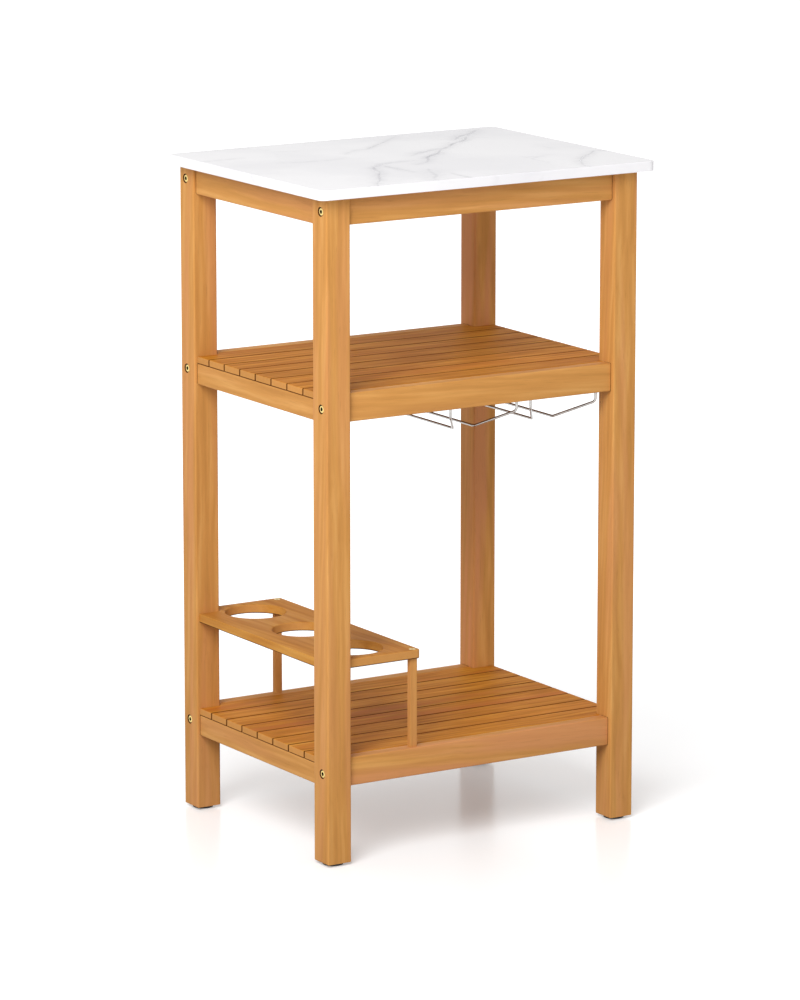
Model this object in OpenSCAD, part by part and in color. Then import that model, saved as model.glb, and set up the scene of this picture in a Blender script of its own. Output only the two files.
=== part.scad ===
// Three-tier outdoor buffet table: a stone-look top on a hardwood frame,
// two slatted shelves, a bottle board and two wire stemware racks.
// Millimetres. X is the width, -Y is the front, Z is up. The origin lies on
// the floor below the middle of the top.

/* [Overall] */
// Height of the table from the floor to the upper face of the top
total_h = 904; // [860:1:960]
// Width of the top
top_w = 520; // [500:1:600]
// Depth of the top
top_d = 400; // [385:1:440]
// Thickness of the top
top_t = 13.5; // [12:0.5:20]
// Corner radius of the top, seen from above
top_corner_r = 10; // [4:1:20]
// Overhang of the top past the legs, at both sides
side_overhang = 18; // [8:1:24]
// Overhang of the top past the legs, at the front
front_overhang = 18; // [8:1:24]
// Overhang of the top past the legs, at the rear
rear_overhang = 2; // [0:1:12]

/* [Frame] */
// Side of the square legs
leg_s = 36; // [34:1:40]
// Height of the long rails and of the four aprons
rail_h = 38; // [34:1:46]
// Thickness of every rail and apron
rail_t = 18; // [17:1:20]
// Setback of the long rails from the outer face of the legs
long_setback = 6; // [4:1:8]
// Setback of the side rails from the outer face of the legs
side_setback = 4; // [2:1:6]
// Radius of the eased long edges of the legs
leg_edge_r = 2; // [0.5:0.5:4]
// Radius of the eased edges of the rails
rail_edge_r = 1.5; // [0.5:0.5:3]

/* [Shelves] */
// Height of the middle shelf's upper face above the floor
mid_shelf_h = 632; // [560:1:700]
// Height of the bottom shelf's upper face above the floor
low_shelf_h = 144; // [100:1:200]
// Thickness of the slats
slat_t = 10; // [8:1:12]
// Extra width of the two end slats over the six inner ones
end_slat_extra = 2.2; // [0:0.2:6]
// Gap between two slats
slat_gap = 1.2; // [0.8:0.1:3]
// Radius of the eased upper edges of the slats
slat_edge_r = 1.2; // [0.4:0.1:2]
// Width of the batten below the middle of a shelf
batten_w = 24; // [18:1:36]
// Height of the batten below the middle of a shelf
batten_h = 18; // [14:1:20]

/* [Bottle board] */
// Height of the board's upper face above the floor
board_h = 276.5; // [240:0.5:320]
// Thickness of the board
board_t = 12; // [10:1:16]
// Width of the board, from its left edge
board_w = 144.5; // [136:0.5:170]
// Setback of the board's left edge from the outer face of the legs
board_left = 4; // [2:1:6]
// Setback of the board's ends from the outer face of the legs
board_setback = 8; // [6:1:10]
// Corner radius of the board's free corners
board_corner_r = 5; // [2:1:8]
// Diameter of a bottle hole
bottle_d = 84; // [76:1:88]
// Wood between the end of the board and its first bottle hole
bottle_margin = 15; // [13:1:22]
// Width of a board post
post_w = 11.5; // [10:0.5:16]
// Depth of a board post
post_d = 7; // [6:1:10]
// Distance of the posts from the board's right edge
post_inset = 3; // [1:1:8]

/* [Stemware racks] */
// Diameter of the rack wire
wire_d = 3.5; // [3:0.5:5]
// Distance between the two wires of a rack, centre to centre
wire_gap = 33; // [24:1:40]
// Distance between the two racks
rack_pitch = 126; // [115:1:135]
// Wood between the outermost wire and the dowels in its rail
rack_wall = 3.2; // [2:0.2:20]
// Drop of the wires below the rail that holds them
wire_drop = 38; // [36:1:60]
// Sideways reach of a wire's flared front end
flare_out = 35.5; // [20:0.5:38]
// Forward reach of a wire's flared front end
flare_fwd = 50; // [30:1:70]
// Rise of a wire's flared front end
flare_up = 25; // [15:1:28]
// Bend radius of the wire, at its centre line
wire_bend_r = 7; // [5:0.5:8]
// Depth of a wire's end in the rail
wire_seat = 12; // [8:1:14]

/* [Hardware] */
// Diameter of the frame bolts
bolt_d = 6; // [5:1:6]
// Diameter of the bolt heads
bolt_head_d = 10; // [9:1:12]
// Thickness of the bolt heads
bolt_head_t = 2.6; // [2:0.2:3]
// Depth of a bolt head below the face of the leg
bolt_recess = 0.8; // [0.2:0.1:2]
// Gap around a bolt head
bolt_head_gap = 1.4; // [0.4:0.1:2]
// Diameter of the barrel nuts
nut_d = 10; // [9:1:12]
// Length of the barrel nuts
nut_l = 12; // [10:1:12]
// Distance of a barrel nut's axis from the end of its rail
nut_x = 28; // [20:1:40]
// Diameter of the frame dowels
dowel_d = 8; // [6:1:8]
// Length of the frame dowels
dowel_l = 28; // [20:2:30]
// Diameter of the slat screws
screw_d = 3.5; // [3:0.5:4]
// Diameter of the feet
foot_d = 28; // [22:1:32]
// Thickness of the feet
foot_t = 4; // [3:0.5:8]

/* [Hidden] */

// Facets of every drilled hole and round pin
$fn = 48;
// Facets in a quarter of an eased edge
edge_steps = 3;
// Facets in a quarter of a corner seen from above
corner_steps = 8;
// Slats in a shelf, one node each
slat_n = 8;
// Radial clearance of a pin, bolt or screw in its hole
fit_gap = 0.1;
// Clearance between a notched piece and the leg that it goes round
notch_gap = 0.3;
// Overshoot of a cutting tool past a face
over = 1;

frame_w = top_w - 2 * side_overhang;
frame_d = top_d - front_overhang - rear_overhang;
mid_y = (front_overhang - rear_overhang) / 2;
frame_top = total_h - top_t;
leg_l = frame_top - foot_t;
long_l = frame_w - 2 * leg_s;
side_l = frame_d - 2 * leg_s;

// Centre planes of the rails, from the outer face of the legs
long_c = long_setback + rail_t / 2;
side_c = side_setback + rail_t / 2;
long_in = long_setback + rail_t;

// A side rail of a shelf leaves room for the slats that lie on it
side_rail_h = rail_h - slat_t;
apron_z = frame_top - rail_h;
mid_z = mid_shelf_h - rail_h;
low_z = low_shelf_h - rail_h;
shelf_tops = [mid_shelf_h, low_shelf_h];
rail_levels = [apron_z, mid_z, low_z];
side_levels = [[apron_z, rail_h], [mid_z, side_rail_h], [low_z, side_rail_h]];
// Wood between a dowel and the edge of its rail
dowel_wall = 3.5;

// The slats share the depth between the long rails; the first and the last
// are wider and go round the legs
slat_l = frame_w - 2 * side_setback;
slat_field = frame_d - 2 * long_in;
slat_w = (slat_field - 2 * end_slat_extra - (slat_n + 1) * slat_gap) / slat_n;
slat_pitch = slat_w + slat_gap;
end_slat_w = slat_w + end_slat_extra;
notch = leg_s + notch_gap;

// Frame bolts: a head, a hexagon socket and a shank through a barrel nut
bolt_head_z = bolt_recess + bolt_head_t;
bolt_past_nut = 8;
bolt_end_gap = 1;
bolt_l = leg_s - bolt_head_z + nut_x + bolt_past_nut;
bolt_socket_w = 5;
bolt_socket_t = 1.8;
bolt_chamfer = 0.5;
bolt_hole_r = bolt_d / 2 + 3 * fit_gap;
nut_slot_w = 1.2;
nut_slot_t = 1.5;

board_l = frame_d - 2 * board_setback;
board_under = board_h - board_t;
board_edge_r = 1.2;
bottle_x = board_left + board_w / 2;
bottle_edge = 0.8;
bottle_pitch = board_l / 2 - bottle_margin - bottle_d / 2;
board_screw_d = 4;
board_screw_head_d = 9;
board_screw_l = 36;
board_socket_w = 3;
board_socket_t = 1.5;
board_dowel_d = 6;
board_dowel_l = 24;
post_x = board_left + board_w - post_inset - post_w / 2;
post_h = board_under - low_shelf_h;
post_edge_r = 1;
post_dowel_d = 5;
post_dowel_l = 22;

wire_r = wire_d / 2;
wire_lap = 0.4;
wire_swell = 0.04;
wire_z = mid_z - wire_drop;
wire_end_z = mid_z + wire_seat;
rack_end = dowel_l / 2 + rack_wall + wire_r;
rack_x = long_l / 2 - rack_end - flare_out - wire_gap / 2;

// Slat screws: from below through a rail or batten into the slat
screw_head_d = 2 * screw_d;
screw_head_t = screw_d / 2;
screw_sink = 6;
screw_bite = slat_t - 3;
screw_wall = 2;
batten_dowel_d = 6;
batten_dowel_l = 20;

// Angle brackets between the long aprons and the top
bracket_x = 120;
bracket_w = 16;
bracket_leg = 25;
bracket_t = 2;
bracket_hole = 14;
bracket_screw_d = 4;
bracket_screw_l = 14;
bracket_head_d = 8;
bracket_head_t = 2.4;
bracket_socket_d = 2.8;
bracket_socket_t = 1.4;
top_screw_l = bracket_t + top_t / 2;
top_edge_r = 1.2;

foot_chamfer = 1;
nail_d = 2.4;
nail_l = 18;
nail_head_d = 6;
nail_head_t = 1;
nail_sink = 0.5;

// Points of a rectangle w by h whose corner radii are, in order, those of
// its upper right, upper left, lower left and lower right corners
function eased(w, h, radii, steps) = [
    for (q = [0:3])
        let (r = radii[q])
        let (cx = (q == 0 || q == 3) ? w - r : r)
        let (cy = (q < 2) ? h - r : r)
        for (k = [0:(r > 0 ? steps : 0)])
            let (a = 90 * q + (r > 0 ? 90 * k / steps : 0))
            [cx + r * cos(a), cy + r * sin(a)]
];

function unit(v) = v / norm(v);

// A bar of length l along X with the section w by h in Y and Z
module bar_x(l, w, h, radii) {
    translate([-l / 2, 0, 0])
        rotate([90, 0, 90])
            linear_extrude(l) polygon(eased(w, h, radii, edge_steps));
}

// A bar of length l along Y with the section w by h in X and Z
module bar_y(l, w, h, radii) {
    translate([0, l, 0])
        rotate([90, 0, 0])
            linear_extrude(l) polygon(eased(w, h, radii, edge_steps));
}

// Round pin or drill from a point, along X, Y or Z
module along_x(p, l, r) { translate(p) rotate([0, 90, 0]) cylinder(h = l, r = r); }
module along_y(p, l, r) { translate(p) rotate([-90, 0, 0]) cylinder(h = l, r = r); }
module along_z(p, l, r) { translate(p) cylinder(h = l, r = r); }

// Puts a piece drawn at the front left leg's outer corner, with X and Y
// running inwards, at the corner given by sx and sy, each -1 or 1
module at_corner(sx, sy) {
    translate([sx * frame_w / 2, mid_y + sy * frame_d / 2, 0])
        mirror([sx > 0 ? 1 : 0, 0, 0])
            mirror([0, sy > 0 ? 1 : 0, 0]) children();
}

// Puts a piece drawn at the legs' front face, with Y running inwards,
// at the front for sy = -1 and at the rear for sy = 1
module at_end(sy) {
    translate([0, mid_y + sy * frame_d / 2, 0])
        mirror([0, sy > 0 ? 1 : 0, 0]) children();
}

// Puts a piece drawn at the legs' left face, with X running inwards and Y
// from the legs' front face, at the left for sx = -1, at the right for 1
module at_side(sx) {
    translate([sx * frame_w / 2, mid_y - frame_d / 2, 0])
        mirror([sx > 0 ? 1 : 0, 0, 0]) children();
}

// Heights of the two dowels in the end of a rail of height h, from z up
function dowel_zs(z, h) =
    [for (s = [-1, 1]) z + h / 2 + s * (h / 2 - dowel_wall - dowel_d / 2)];

// A leg at the front left corner, drilled for its rails, foot and board
module leg(has_board) {
    color([0.80, 0.58, 0.35])
    difference() {
        translate([0, 0, foot_t])
            linear_extrude(leg_l)
                polygon(eased(leg_s, leg_s, [for (q = [0:3]) leg_edge_r], edge_steps));
        for (z = rail_levels) {
            along_x([-over, long_c, z + rail_h / 2], leg_s + 2 * over, bolt_hole_r);
            along_x([-over, long_c, z + rail_h / 2], bolt_head_z + over,
                bolt_head_d / 2 + bolt_head_gap);
            for (dz = dowel_zs(z, rail_h))
                along_x([leg_s - dowel_l / 2, long_c, dz], dowel_l, dowel_d / 2 + fit_gap);
        }
        for (level = side_levels)
            for (dz = dowel_zs(level[0], level[1]))
                along_y([side_c, leg_s - dowel_l / 2, dz], dowel_l, dowel_d / 2 + fit_gap);
        if (has_board)
            along_y([leg_s / 2, leg_s - board_dowel_l / 2, board_h - board_t / 2],
                board_dowel_l, board_dowel_d / 2 + fit_gap);
        along_z([leg_s / 2, leg_s / 2, foot_t - over], nail_sink + nail_l - foot_t + over,
            nail_d / 2 + fit_gap);
    }
}

// A long rail at the front, from its lower edge at z, with its end joints
module long_rail(z) {
    color([0.78, 0.56, 0.33])
    difference() {
        translate([0, long_setback, z])
            bar_x(long_l, rail_t, rail_h, [for (q = [0:3]) rail_edge_r]);
        for (s = [-1, 1])
            translate([s * long_l / 2, long_c, z + rail_h / 2])
                mirror([s > 0 ? 1 : 0, 0, 0]) {
                    along_x([-over, 0, 0], nut_x + bolt_past_nut + bolt_end_gap + over,
                        bolt_hole_r);
                    along_y([nut_x, -nut_l / 2, 0], rail_t, nut_d / 2 + fit_gap);
                }
        for (s = [-1, 1])
            for (dz = dowel_zs(z, rail_h))
                along_x([s * long_l / 2 - dowel_l / 2, long_c, dz], dowel_l,
                    dowel_d / 2 + fit_gap);
    }
}

// A side rail at the left, with its lower edge and height from level
module side_rail(level) {
    color([0.80, 0.58, 0.35])
    difference() {
        translate([side_setback, leg_s, level[0]])
            bar_y(side_l, rail_t, level[1], [for (q = [0:3]) rail_edge_r]);
        for (y = [leg_s, frame_d - leg_s])
            for (dz = dowel_zs(level[0], level[1]))
                along_y([side_c, y - dowel_l / 2, dz], dowel_l, dowel_d / 2 + fit_gap);
    }
}

// A side rail of a shelf, with the holes of the slat screws
module shelf_side_rail(level) {
    color([0.80, 0.58, 0.35])
    difference() {
        side_rail(level);
        for (i = [0:slat_n - 1])
            translate([side_c, slat_screw_y(i), level[0]]) slat_screw_hole(level[1]);
    }
}

// Clearance hole and counterbore of a slat screw through a bar of height h
module slat_screw_hole(h) {
    along_z([0, 0, -over], h + 2 * over, screw_d / 2 + fit_gap);
    along_z([0, 0, -over], screw_sink + over, screw_head_d / 2 + 2 * fit_gap);
}

// A screw that goes up through a bar of height h into a slat
module slat_screw(h) {
    along_z([0, 0, screw_sink - screw_head_t], screw_head_t, screw_head_d / 2);
    along_z([0, 0, screw_sink], h - screw_sink + screw_bite, screw_d / 2);
}

// Front edge and width of slat i, from the legs' front face
function slat_y0(i) =
    long_in + slat_gap + (i == 0 ? 0 : end_slat_w + slat_gap + (i - 1) * slat_pitch);
function slat_width(i) = (i == 0 || i == slat_n - 1) ? end_slat_w : slat_w;

// Middle of slat i, where its batten screw is
function slat_y(i) = slat_y0(i) + slat_width(i) / 2;

// Screw place of slat i over a side rail: an end slat's clears the dowels
function slat_screw_y(i) =
    let (end = leg_s + dowel_l / 2 + screw_head_d / 2 + screw_wall)
    min(max(slat_y(i), end), frame_d - end);

// Slat i of the shelf whose upper face is at top_z
module slat(top_z, i) {
    color([0.72, 0.48, 0.26])
    translate([0, mid_y - frame_d / 2, top_z - slat_t])
    difference() {
        intersection() {
            translate([0, slat_y0(i), 0])
                bar_x(slat_l, slat_width(i), slat_t, [slat_edge_r, slat_edge_r, 0, 0]);
            translate([-slat_l / 2, 0, 0])
                bar_y(frame_d, slat_l, slat_t, [slat_edge_r, slat_edge_r, 0, 0]);
        }
        for (sx = [-1, 1])
            for (y = [0, frame_d - notch])
                translate([sx * (frame_w / 2 - notch / 2) - notch / 2, y, -over])
                    cube([notch, notch, slat_t + 2 * over]);
        along_z([0, slat_y(i), -over], screw_bite + over, screw_d / 2 + fit_gap);
        for (sx = [-1, 1])
            along_z([sx * (frame_w / 2 - side_c), slat_screw_y(i), -over],
                screw_bite + over, screw_d / 2 + fit_gap);
    }
}

// The batten below the middle of the shelf whose upper face is at top_z
module batten(top_z) {
    z = top_z - slat_t - batten_h;
    color([0.74, 0.52, 0.30])
    translate([0, mid_y - frame_d / 2, 0])
    difference() {
        translate([-batten_w / 2, long_in, z])
            bar_y(slat_field, batten_w, batten_h, [0, 0, rail_edge_r, rail_edge_r]);
        for (i = [0:slat_n - 1])
            translate([0, slat_y(i), z]) slat_screw_hole(batten_h);
        for (y = [long_in, frame_d - long_in])
            along_y([0, y - batten_dowel_l / 2, z + batten_h / 2], batten_dowel_l,
                batten_dowel_d / 2 + fit_gap);
    }
}

// Hole in a long rail for the dowel of a shelf's batten
module batten_dowel_hole(top_z) {
    along_y([0, long_in - batten_dowel_l / 2, top_z - slat_t - batten_h / 2],
        batten_dowel_l, batten_dowel_d / 2 + fit_gap);
}

// Places of the four rack wires in X, and the side to which each flares
rack_wires = [
    for (k = [1, 0])
        for (s = [-1, 1])
            [rack_x - k * rack_pitch + s * wire_gap / 2, s]
];

// A long rail of the middle shelf: sy = -1 at the front, 1 at the rear
module mid_rail(sy) {
    at_end(sy)
    difference() {
        long_rail(mid_z);
        batten_dowel_hole(mid_shelf_h);
        for (w = rack_wires)
            along_z([w[0] + (sy < 0 ? w[1] * flare_out : 0), long_c, mid_z - over],
                wire_seat + over, wire_r + fit_gap);
    }
}

// A long rail of the bottom shelf, with the seat of a bottle board post
module low_rail(sy) {
    at_end(sy)
    difference() {
        long_rail(low_z);
        batten_dowel_hole(low_shelf_h);
        along_z([-frame_w / 2 + post_x, long_c, low_shelf_h - post_dowel_l / 2],
            post_dowel_l, post_dowel_d / 2 + fit_gap);
    }
}

// A long apron, with the holes of the top's bracket screws
module long_apron(sy) {
    at_end(sy)
    difference() {
        long_rail(apron_z);
        for (x = [-bracket_x, bracket_x])
            along_y([x, long_in - bracket_screw_l + bracket_t, frame_top - bracket_hole],
                rail_t, bracket_screw_d / 2 + fit_gap);
    }
}

// The stone-look top: rounded corners, eased rims, blind holes below
module table_top() {
    upper = top_edge_r;
    lower = top_edge_r / 2;
    color([0.93, 0.93, 0.93])
    difference() {
        intersection() {
            translate([-top_w / 2, -top_d / 2, frame_top])
                linear_extrude(top_t)
                    polygon(eased(top_w, top_d, [for (q = [0:3]) top_corner_r],
                        corner_steps));
            translate([0, -top_d / 2, frame_top])
                bar_x(top_w, top_d, top_t, [upper, upper, lower, lower]);
            translate([-top_w / 2, -top_d / 2, frame_top])
                bar_y(top_d, top_w, top_t, [upper, upper, lower, lower]);
        }
        for (sy = [-1, 1])
            at_end(sy)
                for (x = [-bracket_x, bracket_x])
                    along_z([x, long_in + bracket_hole, frame_top - over],
                        top_screw_l - bracket_t + over, bracket_screw_d / 2 + fit_gap);
    }
}

// The bottle board: between the left legs, and past them over the rails
module bottle_board() {
    color([0.75, 0.52, 0.29])
    at_side(-1)
    difference() {
        intersection() {
            translate([board_left, board_setback, board_under])
                linear_extrude(board_t)
                    polygon(eased(board_w, board_l,
                        [board_corner_r, 0, 0, board_corner_r], corner_steps));
            translate([board_left, board_setback, board_under])
                bar_y(board_l, board_w, board_t, [for (q = [0:3]) board_edge_r]);
            translate([0, board_setback, board_under])
                bar_x(2 * (board_left + board_w), board_l, board_t,
                    [for (q = [0:3]) board_edge_r]);
        }
        for (y = [-over, frame_d - notch])
            translate([-over, y, board_under - over])
                cube([notch + over, notch + over, board_t + 2 * over]);
        for (k = [-1:1])
            translate([bottle_x, frame_d / 2 + k * bottle_pitch, board_under]) {
                along_z([0, 0, -over], board_t + 2 * over, bottle_d / 2);
                for (s = [0, 1])
                    translate([0, 0, s * board_t]) mirror([0, 0, s])
                        cylinder(h = bottle_edge, r1 = bottle_d / 2 + bottle_edge,
                            r2 = bottle_d / 2);
            }
        for (y = [long_c, frame_d - long_c])
            translate([post_x, y, board_h]) board_screw_hole();
        for (y = [leg_s, frame_d - leg_s])
            along_y([leg_s / 2, y - board_dowel_l / 2, board_h - board_t / 2],
                board_dowel_l, board_dowel_d / 2 + fit_gap);
    }
}

// Countersunk head of a board screw, its flat face up at z = 0
module board_screw_head(gap) {
    sink = board_screw_head_d / 2 - board_screw_d / 2;
    translate([0, 0, -sink])
        cylinder(h = sink, r1 = board_screw_d / 2 + gap, r2 = board_screw_head_d / 2 + gap);
}

module board_screw_hole() {
    board_screw_head(fit_gap);
    along_z([0, 0, -board_screw_l], board_screw_l + over, board_screw_d / 2 + fit_gap);
}

// A post between a long rail of the bottom shelf and the bottle board
module bottle_post(sy) {
    color([0.78, 0.56, 0.33])
    at_end(sy)
    translate([-frame_w / 2 + post_x, long_c, low_shelf_h])
    difference() {
        translate([-post_w / 2, -post_d / 2, 0])
            linear_extrude(post_h)
                polygon(eased(post_w, post_d, [for (q = [0:3]) post_edge_r], edge_steps));
        along_z([0, 0, -over], post_dowel_l / 2 + over, post_dowel_d / 2 + fit_gap);
        along_z([0, 0, post_h + board_t - board_screw_l], board_screw_l,
            board_screw_d / 2 + fit_gap);
    }
}

// A straight rod between two points
module rod(p, q, r) {
    v = q - p;
    translate(p)
        rotate([0, acos(v[2] / norm(v)), atan2(v[1], v[0])])
            cylinder(h = norm(v), r = r);
}

// The bend of a wire at point b, between the directions d1 and d2: the arc
// is drawn about Z, rolled so that it starts along d1, and Z turned to n
module bend(b, d1, d2, bend_r, r) {
    turn = acos(d1 * d2);
    n = unit(cross(d1, d2));
    inward = cross(n, d1);
    tilt = acos(n[2]);
    swing = atan2(n[1], n[0]);
    local_x = [cos(swing) * cos(tilt), sin(swing) * cos(tilt), -sin(tilt)];
    local_y = [-sin(swing), cos(swing), 0];
    roll = atan2(-inward * local_y, -inward * local_x);
    translate(b - d1 * bend_r * tan(turn / 2) + inward * bend_r)
        rotate([0, tilt, swing])
            rotate([0, 0, roll])
                rotate_extrude(angle = turn) translate([bend_r, 0]) circle(r = r);
}

// A round wire through the points, bent to one radius at each inner point;
// each straight run ends inside its bends, which are wider by a hair
module bent_wire(points, bend_r, r) {
    last = len(points) - 1;
    dirs = [for (i = [0:last - 1]) unit(points[i + 1] - points[i])];
    cut = [
        for (i = [0:last])
            (i == 0 || i == last) ? 0
                : bend_r * tan(acos(dirs[i - 1] * dirs[i]) / 2) - wire_lap
    ];
    for (i = [0:last - 1])
        rod(points[i] + dirs[i] * cut[i], points[i + 1] - dirs[i] * cut[i + 1], r);
    for (i = [1:last - 1])
        bend(points[i], dirs[i - 1], dirs[i], bend_r, r + wire_swell);
}

// Rack wire k: down out of the front rail, in along the flare, straight
// back and up into the rear rail
module rack_wire(k) {
    x = rack_wires[k][0];
    tip_x = x + rack_wires[k][1] * flare_out;
    color([0.80, 0.81, 0.83])
    translate([0, mid_y - frame_d / 2, 0])
        bent_wire([
            [tip_x, long_c, wire_end_z],
            [tip_x, long_c, wire_z + flare_up],
            [x, long_c + flare_fwd, wire_z],
            [x, frame_d - long_c, wire_z],
            [x, frame_d - long_c, wire_end_z]
        ], wire_bend_r, wire_r);
}

// A moulded glide below a leg, with the pocket of its nail's head
module foot() {
    color([0.08, 0.08, 0.08])
    translate([leg_s / 2, leg_s / 2, 0])
    difference() {
        union() {
            cylinder(h = foot_chamfer, r1 = foot_d / 2 - foot_chamfer, r2 = foot_d / 2);
            along_z([0, 0, foot_chamfer], foot_t - foot_chamfer, foot_d / 2);
        }
        along_z([0, 0, -over], foot_t + 2 * over, nail_d / 2 + fit_gap);
        along_z([0, 0, -over], nail_sink + nail_head_t + over, nail_head_d / 2 + fit_gap);
    }
}

// The nails that hold the feet
module foot_nails() {
    color("silver")
    for (sx = [-1, 1])
        for (sy = [-1, 1])
            at_corner(sx, sy)
                translate([leg_s / 2, leg_s / 2, nail_sink]) {
                    along_z([0, 0, 0], nail_head_t, nail_head_d / 2);
                    along_z([0, 0, nail_head_t], nail_l - nail_head_t, nail_d / 2);
                }
}

// A socket of width w across its flats and depth t, down from z = 0
module hex_socket(w, t) {
    translate([0, 0, -t]) cylinder(h = t + over, r = w / sqrt(3), $fn = 6);
}

// A frame bolt along +Z, the outer face of its head at z = 0
module frame_bolt() {
    head_r = bolt_head_d / 2;
    difference() {
        union() {
            cylinder(h = bolt_chamfer, r1 = head_r - bolt_chamfer, r2 = head_r);
            along_z([0, 0, bolt_chamfer], bolt_head_t - bolt_chamfer, head_r);
            along_z([0, 0, bolt_head_t], bolt_l, bolt_d / 2);
        }
        mirror([0, 0, 1]) hex_socket(bolt_socket_w, bolt_socket_t);
    }
}

// The socket-headed bolts that join the long rails to the legs
module frame_bolts() {
    color([0.80, 0.70, 0.40])
    for (sx = [-1, 1])
        for (sy = [-1, 1])
            at_corner(sx, sy)
                for (z = rail_levels)
                    translate([bolt_recess, long_c, z + rail_h / 2])
                        rotate([0, 90, 0]) frame_bolt();
}

// The barrel nuts that take the frame bolts inside the long rails
module barrel_nuts() {
    color([0.75, 0.75, 0.76])
    for (sx = [-1, 1])
        for (sy = [-1, 1])
            at_corner(sx, sy)
                for (z = rail_levels)
                    translate([leg_s + nut_x, long_c, z + rail_h / 2])
                        difference() {
                            along_y([0, -nut_l / 2, 0], nut_l, nut_d / 2);
                            along_x([-nut_d, 0, 0], 2 * nut_d, bolt_d / 2 + fit_gap);
                            translate([-nut_slot_w / 2, nut_l / 2 - nut_slot_t, -nut_d])
                                cube([nut_slot_w, nut_slot_t + over, 2 * nut_d]);
                        }
}

// The dowels between the long rails and the legs
module rail_dowels() {
    color([0.86, 0.72, 0.50])
    for (sx = [-1, 1])
        for (sy = [-1, 1])
            at_corner(sx, sy)
                for (z = rail_levels)
                    for (dz = dowel_zs(z, rail_h))
                        along_x([leg_s - dowel_l / 2, long_c, dz], dowel_l, dowel_d / 2);
}

// The dowels between the side rails and the legs
module side_dowels() {
    color([0.86, 0.72, 0.50])
    for (sx = [-1, 1])
        for (sy = [-1, 1])
            at_corner(sx, sy)
                for (level = side_levels)
                    for (dz = dowel_zs(level[0], level[1]))
                        along_y([side_c, leg_s - dowel_l / 2, dz], dowel_l, dowel_d / 2);
}

// The dowels between the battens and the long rails
module batten_dowels() {
    color([0.86, 0.72, 0.50])
    for (sy = [-1, 1])
        at_end(sy)
            for (top_z = shelf_tops)
                along_y([0, long_in - batten_dowel_l / 2, top_z - slat_t - batten_h / 2],
                    batten_dowel_l, batten_dowel_d / 2);
}

// The screws up through the side rails into the ends of the slats
module slat_screws() {
    color("silver")
    for (sx = [-1, 1])
        at_side(sx)
            for (z = [mid_z, low_z])
                for (i = [0:slat_n - 1])
                    translate([side_c, slat_screw_y(i), z]) slat_screw(side_rail_h);
}

// The screws up through the battens into the middle of the slats
module batten_screws() {
    color("silver")
    translate([0, mid_y - frame_d / 2, 0])
        for (top_z = shelf_tops)
            for (i = [0:slat_n - 1])
                translate([0, slat_y(i), top_z - slat_t - batten_h]) slat_screw(batten_h);
}

// The brass screws down through the bottle board into its posts
module board_screws() {
    color([0.80, 0.70, 0.40])
    at_side(-1)
        for (y = [long_c, frame_d - long_c])
            translate([post_x, y, board_h])
                difference() {
                    union() {
                        board_screw_head(0);
                        along_z([0, 0, -board_screw_l], board_screw_l, board_screw_d / 2);
                    }
                    hex_socket(board_socket_w, board_socket_t);
                }
}

// The dowels between the bottle board and the left legs
module board_dowels() {
    color([0.86, 0.72, 0.50])
    for (sy = [-1, 1])
        at_corner(-1, sy)
            along_y([leg_s / 2, leg_s - board_dowel_l / 2, board_h - board_t / 2],
                board_dowel_l, board_dowel_d / 2);
}

// The dowels between the board posts and the bottom shelf's long rails
module post_dowels() {
    color([0.86, 0.72, 0.50])
    for (sy = [-1, 1])
        at_end(sy)
            along_z([-frame_w / 2 + post_x, long_c, low_shelf_h - post_dowel_l / 2],
                post_dowel_l, post_dowel_d / 2);
}

// Calls its children at each bracket, with Y running inwards from the apron
module at_brackets() {
    for (sy = [-1, 1])
        at_end(sy)
            for (x = [-bracket_x, bracket_x])
                translate([x, long_in, frame_top]) children();
}

// The steel angle brackets between the long aprons and the top
module top_brackets() {
    color([0.70, 0.71, 0.72])
    at_brackets()
        difference() {
            union() {
                translate([-bracket_w / 2, 0, -bracket_leg])
                    cube([bracket_w, bracket_t, bracket_leg]);
                translate([-bracket_w / 2, 0, -bracket_t])
                    cube([bracket_w, bracket_leg, bracket_t]);
            }
            along_y([0, -over, -bracket_hole], bracket_t + 2 * over,
                bracket_screw_d / 2 + fit_gap);
            along_z([0, bracket_hole, -bracket_t - over], bracket_t + 2 * over,
                bracket_screw_d / 2 + fit_gap);
        }
}

// A pan-headed screw along +Y, its head's flat seat at the origin
module pan_screw(l) {
    difference() {
        union() {
            along_y([0, 0, 0], l, bracket_screw_d / 2);
            along_y([0, -bracket_head_t, 0], bracket_head_t, bracket_head_d / 2);
        }
        along_y([0, -bracket_head_t - over, 0], bracket_socket_t + over,
            bracket_socket_d / 2);
    }
}

// The screws that hold the brackets to the aprons
module bracket_screws() {
    color("silver")
    at_brackets()
        translate([0, bracket_t, -bracket_hole])
            mirror([0, 1, 0]) pan_screw(bracket_screw_l);
}

// The screws that hold the top to the brackets
module top_screws() {
    color("silver")
    at_brackets()
        translate([0, bracket_hole, -bracket_t])
            rotate([90, 0, 0]) pan_screw(top_screw_l);
}

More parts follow.
